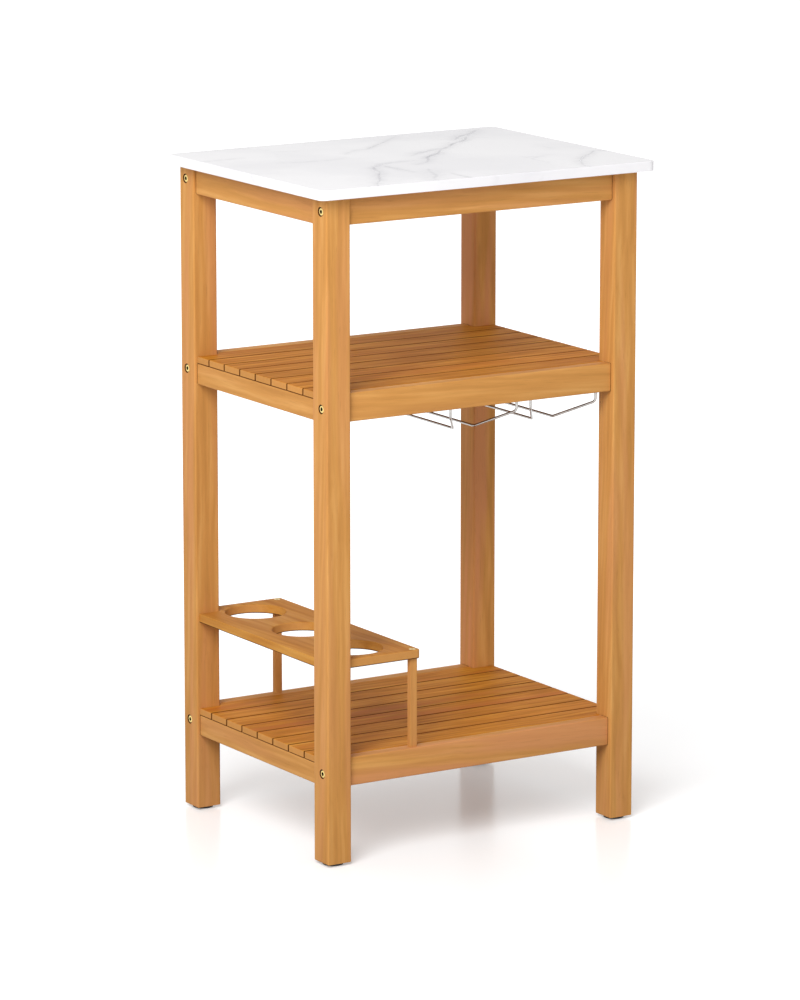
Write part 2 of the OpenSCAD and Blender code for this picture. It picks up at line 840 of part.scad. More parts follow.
table_top();
at_corner(-1, -1) leg(true);  // leg_front_left
at_corner(1, -1) leg(false);  // leg_front_right
at_corner(-1, 1) leg(true);  // leg_rear_left
at_corner(1, 1) leg(false);  // leg_rear_right
long_apron(-1);  // apron_front
long_apron(1);  // apron_rear
at_side(-1) side_rail(side_levels[0]);  // apron_left
at_side(1) side_rail(side_levels[0]);  // apron_right
mid_rail(-1);  // mid_rail_front
mid_rail(1);  // mid_rail_rear
at_side(-1) shelf_side_rail(side_levels[1]);  // mid_rail_left
at_side(1) shelf_side_rail(side_levels[1]);  // mid_rail_right
low_rail(-1);  // low_rail_front
low_rail(1);  // low_rail_rear
at_side(-1) shelf_side_rail(side_levels[2]);  // low_rail_left
at_side(1) shelf_side_rail(side_levels[2]);  // low_rail_right
slat(mid_shelf_h, 0);  // mid_slat_1
slat(mid_shelf_h, 1);  // mid_slat_2
slat(mid_shelf_h, 2);  // mid_slat_3
slat(mid_shelf_h, 3);  // mid_slat_4
slat(mid_shelf_h, 4);  // mid_slat_5
slat(mid_shelf_h, 5);  // mid_slat_6
slat(mid_shelf_h, 6);  // mid_slat_7
slat(mid_shelf_h, 7);  // mid_slat_8
slat(low_shelf_h, 0);  // low_slat_1
slat(low_shelf_h, 1);  // low_slat_2
slat(low_shelf_h, 2);  // low_slat_3
slat(low_shelf_h, 3);  // low_slat_4
slat(low_shelf_h, 4);  // low_slat_5
slat(low_shelf_h, 5);  // low_slat_6
slat(low_shelf_h, 6);  // low_slat_7
slat(low_shelf_h, 7);  // low_slat_8
batten(mid_shelf_h);  // mid_batten
batten(low_shelf_h);  // low_batten
bottle_board();
bottle_post(-1);  // bottle_post_front
bottle_post(1);  // bottle_post_rear
rack_wire(0);  // rack_wire_1
rack_wire(1);  // rack_wire_2
rack_wire(2);  // rack_wire_3
rack_wire(3);  // rack_wire_4
at_corner(-1, -1) foot();  // foot_front_left
at_corner(1, -1) foot();  // foot_front_right
at_corner(-1, 1) foot();  // foot_rear_left
at_corner(1, 1) foot();  // foot_rear_right
frame_bolts();
barrel_nuts();
rail_dowels();
side_dowels();
batten_dowels();
slat_screws();
batten_screws();
board_screws();
board_dowels();
post_dowels();
top_brackets();
bracket_screws();
top_screws();
foot_nails();
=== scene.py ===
"""Looks of a three-tier outdoor buffet table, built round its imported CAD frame.

Sizes are in millimetres until a mesh is written. X is the width, -Y the front, Z up.
"""

import logging
import math
import zlib
from collections.abc import Callable, Sequence
from dataclasses import dataclass, field
from enum import Enum
from functools import partial
from itertools import product

import bmesh
import bpy
import numpy as np
from mathutils import Euler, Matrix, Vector
from mathutils.geometry import tessellate_polygon


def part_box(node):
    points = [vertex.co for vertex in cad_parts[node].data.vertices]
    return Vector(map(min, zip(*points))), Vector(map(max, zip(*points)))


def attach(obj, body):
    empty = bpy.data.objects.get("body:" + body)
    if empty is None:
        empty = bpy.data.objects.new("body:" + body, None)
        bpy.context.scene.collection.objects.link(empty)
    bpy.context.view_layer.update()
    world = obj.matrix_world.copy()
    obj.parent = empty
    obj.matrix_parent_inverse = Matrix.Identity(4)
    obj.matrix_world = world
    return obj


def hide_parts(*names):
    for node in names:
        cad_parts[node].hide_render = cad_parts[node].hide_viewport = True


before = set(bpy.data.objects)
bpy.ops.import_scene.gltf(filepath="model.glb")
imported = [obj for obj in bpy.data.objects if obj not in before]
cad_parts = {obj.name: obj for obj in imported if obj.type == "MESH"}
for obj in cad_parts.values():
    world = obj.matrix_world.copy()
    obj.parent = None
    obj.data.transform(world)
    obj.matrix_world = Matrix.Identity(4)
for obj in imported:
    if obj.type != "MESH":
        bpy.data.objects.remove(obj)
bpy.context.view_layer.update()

MM = 0.001
LOG = logging.getLogger("buffet_table")
ROWS = ("front", "rear")
LEVELS = ("apron", "mid_rail", "low_rail")
SLATS = 8
# Where the shelves and the bottle board are cut out for the legs
NOTCH_X = 205.7
NOTCH_Y = (-145.7, 161.7)
# Counterbores of the screws that hold the slats from below
SCREW_R = 3.7
SCREW_DEPTH = 4.3
# How far a point that keeps shading flat stands from the arc it guards
SUPPORT = 0.3
# Faces that meet at more than this many degrees keep a sharp edge
SHARP = 40
# Edges in the arc of a small corner
SMALL_ARC = 4
# Sockets of a colour mix, by number, since its other kinds have sockets of the same names
FACTOR, UNDER, OVER, MIXED = 0, 6, 7, 2

Colour = tuple[float, float, float, float]
AddNode = Callable[..., bpy.types.Node]
# The sockets of a node, by name or number, with what each gets
Inputs = dict[str | int, object]


class Axis(Enum):
    """The axes of the frame, by their place in a coordinate."""

    X = 0
    Y = 1
    Z = 2


class Lie(Enum):
    """How a plate lies in the frame: the axes along its own u, v and w, by number."""

    FLAT = (0, 1, 2)
    ACROSS_X = (1, 2, 0)
    ACROSS_Y = (0, 2, 1)


class Face(Enum):
    """The two flat faces of a plate, across its thickness."""

    LOW = 0
    HIGH = 1


class Side(Enum):
    """The left and the right of the table, by the sign of X."""

    LEFT = -1
    RIGHT = 1

    @property
    def word(self) -> str:
        """The side as the names of nodes say it."""
        return self.name.lower()

    @property
    def outer(self) -> Face:
        """The face that looks outward on a plate across X."""
        return Face.LOW if self is Side.LEFT else Face.HIGH


# Colour and shader helpers

def linear(code: str) -> Colour:
    """Turns an sRGB hex colour into the linear one that a socket takes.

    A value c up to 0.04045 becomes c / 12.92, and a larger one
    ((c + 0.055) / 1.055)^2.4.

    Args:
        code: The colour, such as "#CD9458".

    Returns:
        Red, green and blue in linear light, and an alpha of 1.
    """
    srgb = np.array([int(code[i:i + 2], 16) for i in (1, 3, 5)]) / 255.0
    value = np.where(srgb <= 0.04045, srgb / 12.92, ((srgb + 0.055) / 1.055) ** 2.4)
    return (*value.tolist(), 1.0)


def add_node(tree: bpy.types.NodeTree, kind: str, inputs: Inputs | None = None,
             stops: Sequence[tuple[float, str]] = (), **settings: object) -> bpy.types.Node:
    """Adds a shader node with its settings and links.

    Args:
        tree: The tree that gets the node.
        kind: Blender's type name of the node, without ShaderNode.
        inputs: For each input, by name or number, a value, an sRGB hex colour, or
            the output linked to it; a node stands for its first output.
        stops: Place and colour of each stop, for a node with a colour ramp.
        settings: The node's own properties.

    Returns:
        The new node.
    """
    node = tree.nodes.new("ShaderNode" + kind)
    for name, value in settings.items():
        setattr(node, name, value)
    for name, value in (inputs or {}).items():
        if isinstance(value, bpy.types.Node):
            value = value.outputs[0]
        if isinstance(value, bpy.types.NodeSocket):
            tree.links.new(value, node.inputs[name])
        else:
            node.inputs[name].default_value = linear(value) if isinstance(value, str) else value
    for number, (place, colour) in enumerate(stops):
        elements = node.color_ramp.elements
        stop = elements[number] if number < 2 else elements.new(place)
        stop.position = place
        stop.color = linear(colour)
    return node


def empty_tree(owner: bpy.types.Material | bpy.types.World) -> AddNode:
    """Gives a material or the world an empty node tree.

    Args:
        owner: The material or the world.

    Returns:
        add_node for that tree.
    """
    owner.use_nodes = True
    owner.node_tree.nodes.clear()
    return partial(add_node, owner.node_tree)


def warp(add: AddNode, place: bpy.types.NodeSocket, noise: bpy.types.Node,
         reach: float) -> bpy.types.Node:
    """Moves each place by the noise's colour less 0.5, times the reach.

    Args:
        add: add_node for the tree.
        place: The places.
        noise: The noise.
        reach: Width of the range that a place can move over, in metres.

    Returns:
        The node that gives the moved places.
    """
    shift = add("VectorMath", {0: noise.outputs["Color"], 1: (0.5, 0.5, 0.5)},
                operation="SUBTRACT")
    small = add("VectorMath", {0: shift, "Scale": reach}, operation="SCALE")
    return add("VectorMath", {0: place, 1: small})


# Finishes

@dataclass(frozen=True)
class Finish:
    """A finish, named for the real material and how its surface was made."""

    name: str

    def surface(self, add: AddNode) -> Inputs:
        """Adds the finish's own nodes.

        Args:
            add: add_node for its tree.

        Returns:
            The inputs of the surface shader.
        """
        raise NotImplementedError

    def build(self) -> bpy.types.Material:
        """Makes the material.

        Returns:
            The material.
        """
        material = bpy.data.materials.new(self.name)
        add = empty_tree(material)
        add("OutputMaterial", {"Surface": add("BsdfPrincipled", self.surface(add))})
        return material


@dataclass(frozen=True)
class OiledAcacia(Finish):
    """Acacia, planed, sanded and oiled: a satin brown with streaks along the grain.

    The streaks are 5 to 10 mm wide and golden, orange or rosy, the growth
    rings a few millimetres apart, and the pores short dark dashes.
    """

    dark: str
    middle: str
    pale: str
    rosy: str = "#D2885C"
    gloss: float = 0.22
    streak_mm: float = 9.0
    ring_mm: float = 7.0
    # Real pores are 0.2 mm wide: they are drawn as coarse as they need to show
    pore_mm: float = 1.1
    # Colour of the painted shade in joints, gaps between slats and pockets
    joint: str = "#45200A"
    ends: str = "#C98F50"

    def layers(self, add: AddNode, warped: bpy.types.Node, along: bpy.types.Node,
               rosiness: bpy.types.NodeSocket) -> list[tuple[bpy.types.Node, str]]:
        """Adds what lies over the streaks: growth rings, rosy bands and end grain.

        Args:
            add: add_node for the tree.
            warped: The places in the wandering grain.
            along: The same, drawn out along the grain.
            rosiness: The board's share of rosy bands.

        Returns:
            The share and the colour of each layer.
        """
        ring_space = add("Mapping", {"Vector": warped, "Scale": (0.10, 1, 1)})
        # One ring of the wave texture is pi / 10 wide at a scale of 1
        rings = add("TexWave",
                    {"Vector": ring_space, "Scale": math.pi / 10 / (self.ring_mm * MM),
                     "Distortion": 2.5, "Detail": 2.0, "Detail Scale": 0.6},
                    wave_type="RINGS", rings_direction="X")
        # The rosier a board, the stronger its figure
        figure = add("MapRange", {"Value": rosiness, "To Min": 0.10, "To Max": 0.50})
        ringed = add("MapRange", {"Value": rings.outputs["Fac"], "From Min": 0.35,
                                  "To Max": figure})
        # Rosy bands some 20 mm wide
        bands = add("TexNoise", {"Vector": along, "Scale": 48.0, "Detail": 1.0})
        banded = add("MapRange", {"Value": bands, "From Min": 0.46, "From Max": 0.66})
        rosy = add("Math", {0: banded, 1: rosiness}, operation="MULTIPLY")
        # End grain shows no streaks: it is where the normal follows the grain
        normal = add("NewGeometry").outputs["Normal"]
        axis = add("Attribute", attribute_name="axis").outputs["Vector"]
        facing = add("VectorMath", {0: normal, 1: axis}, operation="DOT_PRODUCT")
        faced = add("Math", {0: facing.outputs["Value"]}, operation="ABSOLUTE")
        ended = add("MapRange", {"Value": faced, "From Min": 0.5, "From Max": 0.9,
                                 "To Max": 0.85})
        return [(ringed, self.dark), (rosy, self.rosy), (ended, self.ends)]

    def surface(self, add: AddNode) -> Inputs:
        """Adds the wood from the piece's own grain, axis and tone attributes.

        A board's tone holds its lightness in X, its share of rosy bands in Y
        and its painted shade in Z, the shadow painted into joints, gaps and pockets.

        Args:
            add: add_node for its tree.

        Returns:
            The inputs of the surface shader.
        """
        grain = add("Attribute", attribute_name="grain").outputs["Vector"]
        tone = add("Attribute", attribute_name="tone").outputs["Vector"]
        tones = add("SeparateXYZ", {"Vector": tone}).outputs
        # The grain wanders by some millimetres over a length of about 150 mm
        slow = add("Mapping", {"Vector": grain, "Scale": (0.3, 1, 1)})
        noise = add("TexNoise", {"Vector": slow, "Scale": 22.0, "Detail": 2.0})
        warped = warp(add, grain, noise, 10 * MM)

        along = add("Mapping", {"Vector": warped, "Scale": (0.05, 1, 1)})
        streaks = add("TexNoise", {"Vector": along, "Scale": 1 / (self.streak_mm * MM),
                                   "Detail": 3.0, "Roughness": 0.45})
        base = add("ValToRGB", {"Fac": streaks},
                   stops=[(0.28, self.dark), (0.74, self.pale), (0.50, self.middle)])

        colour = base.outputs["Color"]
        for share, over in self.layers(add, warped, along, tones["Y"]):
            layer = add("Mix", {FACTOR: share, UNDER: colour, OVER: over}, data_type="RGBA")
            colour = layer.outputs[MIXED]

        fine = add("Mapping", {"Vector": warped, "Scale": (0.035, 1, 1)})
        pores = add("TexNoise", {"Vector": fine, "Scale": 1 / (self.pore_mm * MM),
                                 "Detail": 2.0})
        pored = add("MapRange", {"Value": pores, "From Min": 0.58, "From Max": 0.76,
                                 "To Min": 1.0, "To Max": 0.86})
        value = add("Math", {0: pored, 1: tones["X"]}, operation="MULTIPLY")
        toned = add("HueSaturation", {"Color": colour, "Value": value})
        # Painted shade: joints, gaps and pockets darkened where shadow falls between parts, and made
        # matt there
        shade = add("Math", {0: tones["Z"], 1: 0.92}, operation="MULTIPLY")
        final = add("Mix", {FACTOR: shade, UNDER: toned, OVER: self.joint}, data_type="RGBA")
        satin = add("MapRange", {"Value": streaks, "To Min": 0.66, "To Max": 0.52})
        rough = add("Math", {0: satin, 1: shade}, operation="MAXIMUM")
        bump = add("Bump", {"Height": pored, "Strength": 0.35, "Distance": 0.15 * MM})
        return {"Base Color": final.outputs[MIXED], "Roughness": rough, "Normal": bump,
                "IOR": 1.47, "Specular IOR Level": self.gloss}


@dataclass(frozen=True)
class PolishedQuartz(Finish):
    """Engineered quartz stone, ground and polished: near white with soft grey veins."""

    name: str = "polished_quartz_stone"
    ground: str = "#EFEDEF"
    vein: str = "#97969E"
    cloud: str = "#DFDDE1"

    def surface(self, add: AddNode) -> Inputs:
        """Adds the stone; a faint vein is where a warped noise crosses its middle.

        Args:
            add: add_node for its tree.

        Returns:
            The inputs of the surface shader.
        """
        place = add("TexCoord").outputs["Object"]
        # The veins bend over about 110 mm, and lie some 200 mm apart
        noise = add("TexNoise", {"Vector": place, "Scale": 9.0, "Detail": 4.0,
                                 "Roughness": 0.6})
        warped = warp(add, place, noise, 110 * MM)
        lines = add("TexNoise", {"Vector": warped, "Scale": 5.2, "Detail": 2.0,
                                 "Roughness": 0.4})
        offset = add("Math", {0: lines, 1: 0.5}, operation="SUBTRACT")
        apart = add("Math", {0: offset}, operation="ABSOLUTE")
        thin = add("MapRange", {"Value": apart, "From Max": 0.016, "To Min": 1.0,
                                "To Max": 0.0}, interpolation_type="SMOOTHSTEP")
        # Veins fade in and out over about 100 mm
        patch = add("TexNoise", {"Vector": place, "Scale": 11.0})
        strength = add("MapRange", {"Value": patch, "From Min": 0.50, "From Max": 0.70,
                                    "To Max": 0.22})
        faint = add("Math", {0: thin, 1: strength}, operation="MULTIPLY")
        # The slab's own veins break up over about 8 mm
        drawn = add("Attribute", attribute_name="vein").outputs["Fac"]
        grit = add("TexNoise", {"Vector": place, "Scale": 120.0, "Detail": 3.0})
        broken = add("MapRange", {"Value": grit, "From Min": 0.35, "From Max": 0.6,
                                  "To Min": 0.35})
        bold = add("Math", {0: drawn, 1: broken}, operation="MULTIPLY")
        vein = add("Math", {0: faint, 1: bold}, operation="MAXIMUM")
        cloud = add("MapRange", {"Value": lines, "From Min": 0.42, "From Max": 0.60,
                                 "To Max": 0.6})
        ground = add("Mix", {FACTOR: cloud, UNDER: self.ground, OVER: self.cloud},
                     data_type="RGBA")
        colour = add("Mix", {FACTOR: vein, UNDER: ground.outputs[MIXED], OVER: self.vein},
                     data_type="RGBA")
        rough = add("MapRange", {"Value": vein, "To Min": 0.22, "To Max": 0.32})
        return {"Base Color": colour.outputs[MIXED], "Roughness": rough, "IOR": 1.54}


@dataclass(frozen=True)
class FineMetal(Finish):
    """A metal with a plated or brushed surface: a clear tint and a slightly uneven gloss."""

    light: str
    shade: str
    smooth: float
    rough: float
    spot_mm: float = 2.5
    # Colour of the painted shade inside a socket
    socket: str = "#3A3420"

    def surface(self, add: AddNode) -> Inputs:
        """Adds the metal, darkened with painted shade where the shade attribute says so.

        Args:
            add: add_node for its tree.

        Returns:
            The inputs of the surface shader.
        """
        place = add("TexCoord").outputs["Object"]
        spots = add("TexNoise", {"Vector": place, "Scale": 1 / (self.spot_mm * MM),
                                 "Detail": 3.0})
        colour = add("ValToRGB", {"Fac": spots}, stops=[(0.3, self.shade), (0.7, self.light)])
        rough = add("MapRange", {"Value": spots, "To Min": self.smooth, "To Max": self.rough})
        # Painted shade inside a socket, where the recess is in shadow
        painted_socket_shade = add("Attribute", attribute_name="shade").outputs["Fac"]
        final = add("Mix", {FACTOR: painted_socket_shade, UNDER: colour, OVER: self.socket}, data_type="RGBA")
        return {"Base Color": final.outputs[MIXED], "Roughness": rough, "Metallic": 1.0}


@dataclass(frozen=True)
class PlainSurface(Finish):
    """A moulded plastic or bare turned wood: a matt colour with a fine grain in relief."""

    light: str
    shade: str
    roughness: float
    ior: float
    grain_mm: float
    relief_mm: float = 0.05

    def surface(self, add: AddNode) -> Inputs:
        """Adds the colour and its grain.

        Args:
            add: add_node for its tree.

        Returns:
            The inputs of the surface shader.
        """
        place = add("TexCoord").outputs["Object"]
        grain = add("TexNoise", {"Vector": place, "Scale": 1 / (self.grain_mm * MM),
                                 "Detail": 2.0})
        colour = add("ValToRGB", {"Fac": grain}, stops=[(0.3, self.shade), (0.7, self.light)])
        bump = add("Bump", {"Height": grain, "Strength": 0.3, "Distance": self.relief_mm * MM})
        return {"Base Color": colour, "Roughness": self.roughness, "Normal": bump,
                "IOR": self.ior}


class Finishes:
    """All the finishes of the table, each built once."""

    def __init__(self) -> None:
        """Builds every material."""
        # Oiled hardwood: the upright frame is the palest, and the slats, which took
        # the most oil, are deep and orange, with the bottle board between them
        self.frame_wood = OiledAcacia("oiled_acacia_frame", "#BC8344", "#CA8F4C", "#D79F5B",
                                      "#CE8C5C", gloss=0.15).build()
        self.slat_wood = OiledAcacia("oiled_acacia_slats", "#AC691E", "#C57E27", "#D99939",
                                     "#BE6E2E", gloss=0.08, streak_mm=6.0).build()
        self.board_wood = OiledAcacia("oiled_acacia_board", "#AE7130", "#C08339", "#CF9648",
                                      "#BC793C", gloss=0.10).build()
        # Stone ground to a polish: near white, and it mirrors the surround softly
        self.stone = PolishedQuartz().build()
        # Chrome over drawn steel wire: a near mirror, a little greyer than what it shows
        self.chrome = FineMetal("chromed_drawn_wire", "#B4B1AE", "#96938F",
                                smooth=0.05, rough=0.12).build()
        # Yellow zinc and brass plate over a turned head: warm, with a soft gloss
        self.brass = FineMetal("brass_plated_turned_steel", "#F6E19A", "#DDBE6A",
                               smooth=0.22, rough=0.36, spot_mm=1.0).build()
        # Zinc plate over pressed steel: a cool dull grey
        self.zinc = FineMetal("zinc_plated_steel", "#C3C6C9", "#A4A8AC",
                              smooth=0.32, rough=0.48).build()
        # Moulded polyethylene: black, with the fine spark texture of its mould
        self.plastic = PlainSurface("moulded_black_polyethylene", "#1C1C1D", "#121213",
                                    roughness=0.55, ior=1.50, grain_mm=0.8).build()
        # Turned beech dowels: pale and dry
        self.beech = PlainSurface("turned_beech", "#DDBB88", "#C79F68",
                                  roughness=0.7, ior=1.45, grain_mm=1.5).build()


# Meshes worked out with numpy

@dataclass
class Shape:
    """A mesh in millimetres: its points with their shades, and its faces."""

    points: np.ndarray = field(default_factory=lambda: np.empty((0, 3)))
    shade: np.ndarray = field(default_factory=lambda: np.empty(0))
    faces: list[list[int]] = field(default_factory=list)
    smooth: list[bool] = field(default_factory=list)

    def add_points(self, points: np.ndarray, shade: np.ndarray | float = 0.0) -> np.ndarray:
        """Adds points.

        Args:
            points: The points, in an array of any shape by x, y and z.
            shade: The shade of each, or of all.

        Returns:
            Their numbers, in the same shape.
        """
        shape = points.shape[:-1]
        ids = len(self.points) + np.arange(math.prod(shape)).reshape(shape)
        self.points = np.vstack([self.points, points.reshape(-1, 3)])
        self.shade = np.concatenate([self.shade, np.broadcast_to(shade, shape).ravel()])
        return ids

    def add_faces(self, faces: list[list[int]], smooth: bool) -> None:
        """Adds faces between points that are there, all smooth or all flat."""
        self.faces += faces
        self.smooth += [smooth] * len(faces)

    def add_rings(self, rings: np.ndarray, shade: np.ndarray | float = 0.0) -> np.ndarray:
        """Adds closed rings of points, with smooth faces from each to the next.

        Args:
            rings: The points, by ring and by place in it.
            shade: The shade of each, or of all.

        Returns:
            Their numbers, by ring and by place in it.
        """
        ids = self.add_points(rings, shade)
        for first, second in zip(ids[:-1], ids[1:]):
            self.add_faces(strip_faces(first, second), True)
        return ids

    def join(self, other: "Shape") -> None:
        """Takes in another mesh.

        Args:
            other: The other mesh.
        """
        start = len(self.points)
        self.add_points(other.points, other.shade)
        self.faces += [[start + number for number in face] for face in other.faces]
        self.smooth += other.smooth


@dataclass
class Pocket:
    """A round or many-sided blind hole in one flat face of a plate."""

    u: float
    v: float
    radius: float
    depth: float
    face: Face = Face.HIGH
    sides: int = 40


@dataclass
class Plate:
    """A flat solid in its own axes: an outline in u and v, and a thickness along w."""

    outline: np.ndarray
    w_low: float
    w_high: float
    # Radius of the eased edge round each face
    low_r: float = 0.0
    high_r: float = 0.0
    lie: Lie = Lie.FLAT
    holes: list[np.ndarray] = field(default_factory=list)
    pockets: list[Pocket] = field(default_factory=list)
    # Share of the easing that the ends in v get
    inset_v: float = 1.0
    # Width of the painted shade line along the low u, low v, high u and high v sides, where shadow
    # falls at a joint, no more than the eased edge, so that the wide triangles of a face stay clear
    dark: tuple[float, float, float, float] = (0.0, 0.0, 0.0, 0.0)
    # Painted shade on the eased lower edge, where shadow falls under the plate
    dark_below: bool = False


def rounded_outline(corners: Sequence[tuple[float, float, float]], steps: int = 6) -> np.ndarray:
    """Rounds the corners of a polygon.

    Each corner of radius r becomes an arc. Its centre lies on the corner's
    bisector at r / sin(half angle), and its ends at r / tan(half angle) along
    the two edges. At the share t of its angle s it lies at the centre plus
    (sin((1 - t) s) start + sin(t s) end) / sin s. A support point before and
    after each arc keeps the shading of the straight edges flat.

    Args:
        corners: u, v and radius of each corner, counterclockwise.
        steps: Edges in an arc.

    Returns:
        The points of the outline, one row each.
    """
    table = np.array(corners, dtype=float)
    points = table[:, :2]
    before = np.roll(points, 1, axis=0) - points
    after = np.roll(points, -1, axis=0) - points
    before /= np.linalg.norm(before, axis=1)[:, None]
    after /= np.linalg.norm(after, axis=1)[:, None]
    out = []
    for point, back, ahead, radius in zip(points, before, after, table[:, 2]):
        if radius == 0:
            out.append(point[None, :])
            continue
        half = math.acos(float(np.clip(back @ ahead, -1, 1))) / 2
        reach = radius / math.tan(half)
        bisector = (back + ahead) / np.linalg.norm(back + ahead)
        centre = point + bisector * radius / math.sin(half)
        start = point + back * reach - centre
        end = point + ahead * reach - centre
        sweep = math.pi - 2 * half
        turn = np.linspace(0, 1, steps + 1)[:, None]
        arc = (np.sin((1 - turn) * sweep) * start + np.sin(turn * sweep) * end)
        arc = centre + arc / math.sin(sweep)
        out.append(np.vstack([point + back * (reach + SUPPORT), arc,
                              point + ahead * (reach + SUPPORT)]))
    return np.vstack(out)


def rectangle(low: np.ndarray, high: np.ndarray, radius: float = 0.0) -> np.ndarray:
    """Gives a rectangle with rounded corners.

    Args:
        low: Lowest u and v.
        high: Highest u and v.
        radius: Radius of the corners.

    Returns:
        The points, counterclockwise.
    """
    return rounded_outline([(low[0], low[1], radius), (high[0], low[1], radius),
                            (high[0], high[1], radius), (low[0], high[1], radius)], SMALL_ARC)


def bar_outline(low: np.ndarray, high: np.ndarray, along_u: bool) -> np.ndarray:
    """Gives a rectangle with points 2 mm before the ends of its long edges.

    Those points keep the dark line of an end from running along the bar.

    Args:
        low: Lowest u and v.
        high: Highest u and v.
        along_u: If the bar is long in u, and else in v.

    Returns:
        The points, counterclockwise.
    """
    (u0, v0), (u1, v1) = low, high
    step = 2.0
    if along_u:
        rows = [(u0, v0), (u0 + step, v0), (u1 - step, v0), (u1, v0),
                (u1, v1), (u1 - step, v1), (u0 + step, v1), (u0, v1)]
    else:
        rows = [(u0, v0), (u1, v0), (u1, v0 + step), (u1, v1 - step),
                (u1, v1), (u0, v1), (u0, v1 - step), (u0, v0 + step)]
    return np.array(rows, dtype=float)


def circle(u: float, v: float, radius: float, count: int) -> np.ndarray:
    """Gives a clockwise circle: u + r cos a and v - r sin a, with a from 0 to a full turn.

    Args:
        u: Centre along u.
        v: Centre along v.
        radius: Radius.
        count: Number of points.

    Returns:
        The points, one row each.
    """
    a = np.linspace(0, 2 * math.pi, count, endpoint=False)
    return np.column_stack([u + radius * np.cos(a), v - radius * np.sin(a)])


def inward(loop: np.ndarray) -> np.ndarray:
    """Gives each point's mitred step into the material, for an inset of 1.

    With the material on the left of the loop and n1 and n2 the left normals
    of the two edges at a point, the step is (n1 + n2) / (1 + n1 . n2).

    Args:
        loop: The points of a closed loop.

    Returns:
        One step for each point.
    """
    edge = np.roll(loop, -1, axis=0) - loop
    edge /= np.linalg.norm(edge, axis=1)[:, None]
    normal = np.column_stack([-edge[:, 1], edge[:, 0]])
    last = np.roll(normal, 1, axis=0)
    return (normal + last) / (1 + np.sum(normal * last, axis=1))[:, None]


def edge_profile(plate: Plate, steps: int = 4) -> np.ndarray:
    """Gives the insets and heights of a plate's rings, from its low to its high face.

    Each eased edge is a quarter circle: inset r (1 - sin a) at height
    r (1 - cos a) on the low side, and its mirror image on the high side. A
    support ring inside each edge keeps the wall between them flat.

    Args:
        plate: The plate.
        steps: Steps in a quarter circle.

    Returns:
        Inset and height of each ring, one row each.
    """
    a = np.linspace(0, math.pi / 2, steps + 1)[:, None]
    rows = [np.array([[0.0, plate.w_low]]), np.array([[0.0, plate.w_high]])]
    if plate.low_r > 0:
        r = plate.low_r
        rows[0] = np.vstack([np.hstack([r * (1 - np.sin(a)), plate.w_low + r * (1 - np.cos(a))]),
                             [[0.0, plate.w_low + r + SUPPORT]]])
    if plate.high_r > 0:
        r = plate.high_r
        rows[1] = np.vstack([[[0.0, plate.w_high - r - SUPPORT]],
                             np.hstack([r * (1 - np.cos(a)), plate.w_high - r * (1 - np.sin(a))])])
    # A flat ring inside the eased edge holds the painted shade line
    across = max(plate.dark[1], plate.dark[3])
    if across > plate.high_r:
        rows.append(np.array([[across, plate.w_high]]))
    return np.vstack(rows)


def strip_faces(first: np.ndarray, second: np.ndarray) -> list[list[int]]:
    """Joins two closed rings of as many points with four-sided faces.

    Args:
        first: Point numbers of one ring.
        second: Point numbers of the other ring.

    Returns:
        The faces.
    """
    return np.column_stack([first, np.roll(first, -1), np.roll(second, -1), second]).tolist()


def plate_mesh(plate: Plate) -> Shape:
    """Builds a plate as rings that follow its outline and holes up its edge profile.

    A ring's point is the outline's point plus its inward step times the ring's
    inset. The two flat faces are filled between the last rings, and around the
    mouths of the pockets, which go down as straight walls to flat floors.

    Args:
        plate: The plate.

    Returns:
        The mesh in the frame's axes. Its painted shade is 1 inside a pocket,
        and on a dark edge as edge_shade says.
    """
    profile = edge_profile(plate)
    shape = Shape()
    caps: dict[Face, list[np.ndarray]] = {Face.LOW: [], Face.HIGH: []}
    for loop in [plate.outline, *plate.holes]:
        step = inward(loop) * [1.0, plate.inset_v]
        flat = loop[None] + step[None] * profile[:, 0, None, None]
        height = np.broadcast_to(profile[:, 1, None, None], (*flat.shape[:2], 1))
        ids = shape.add_rings(np.concatenate([flat, height], axis=2),
                              edge_shade(plate, flat, profile))
        caps[Face.LOW].append(ids[0])
        caps[Face.HIGH].append(ids[-1])
    for pocket in plate.pockets:
        ring = circle(pocket.u, pocket.v, pocket.radius, pocket.sides)
        mouth, down = (plate.w_high, -1) if pocket.face is Face.HIGH else (plate.w_low, 1)
        # Painted shade: the wall turns dark just below the mouth, where the pocket is in shadow
        levels = mouth + down * np.array([0.0, 0.2, pocket.depth])
        wall = [np.column_stack([ring, np.full(len(ring), level)]) for level in levels]
        ids = shape.add_rings(np.stack(wall), np.array([[0.0], [1.0], [1.0]]))
        shape.add_faces([ids[-1].tolist()], False)
        caps[pocket.face].append(ids[0])
    for loops in caps.values():
        order = np.concatenate(loops)
        filled = tessellate_polygon([[Vector(shape.points[i]) for i in loop] for loop in loops])
        shape.add_faces(order[np.array(filled)].tolist(), False)
    placed = np.empty_like(shape.points)
    placed[:, plate.lie.value] = shape.points
    shape.points = placed
    return shape


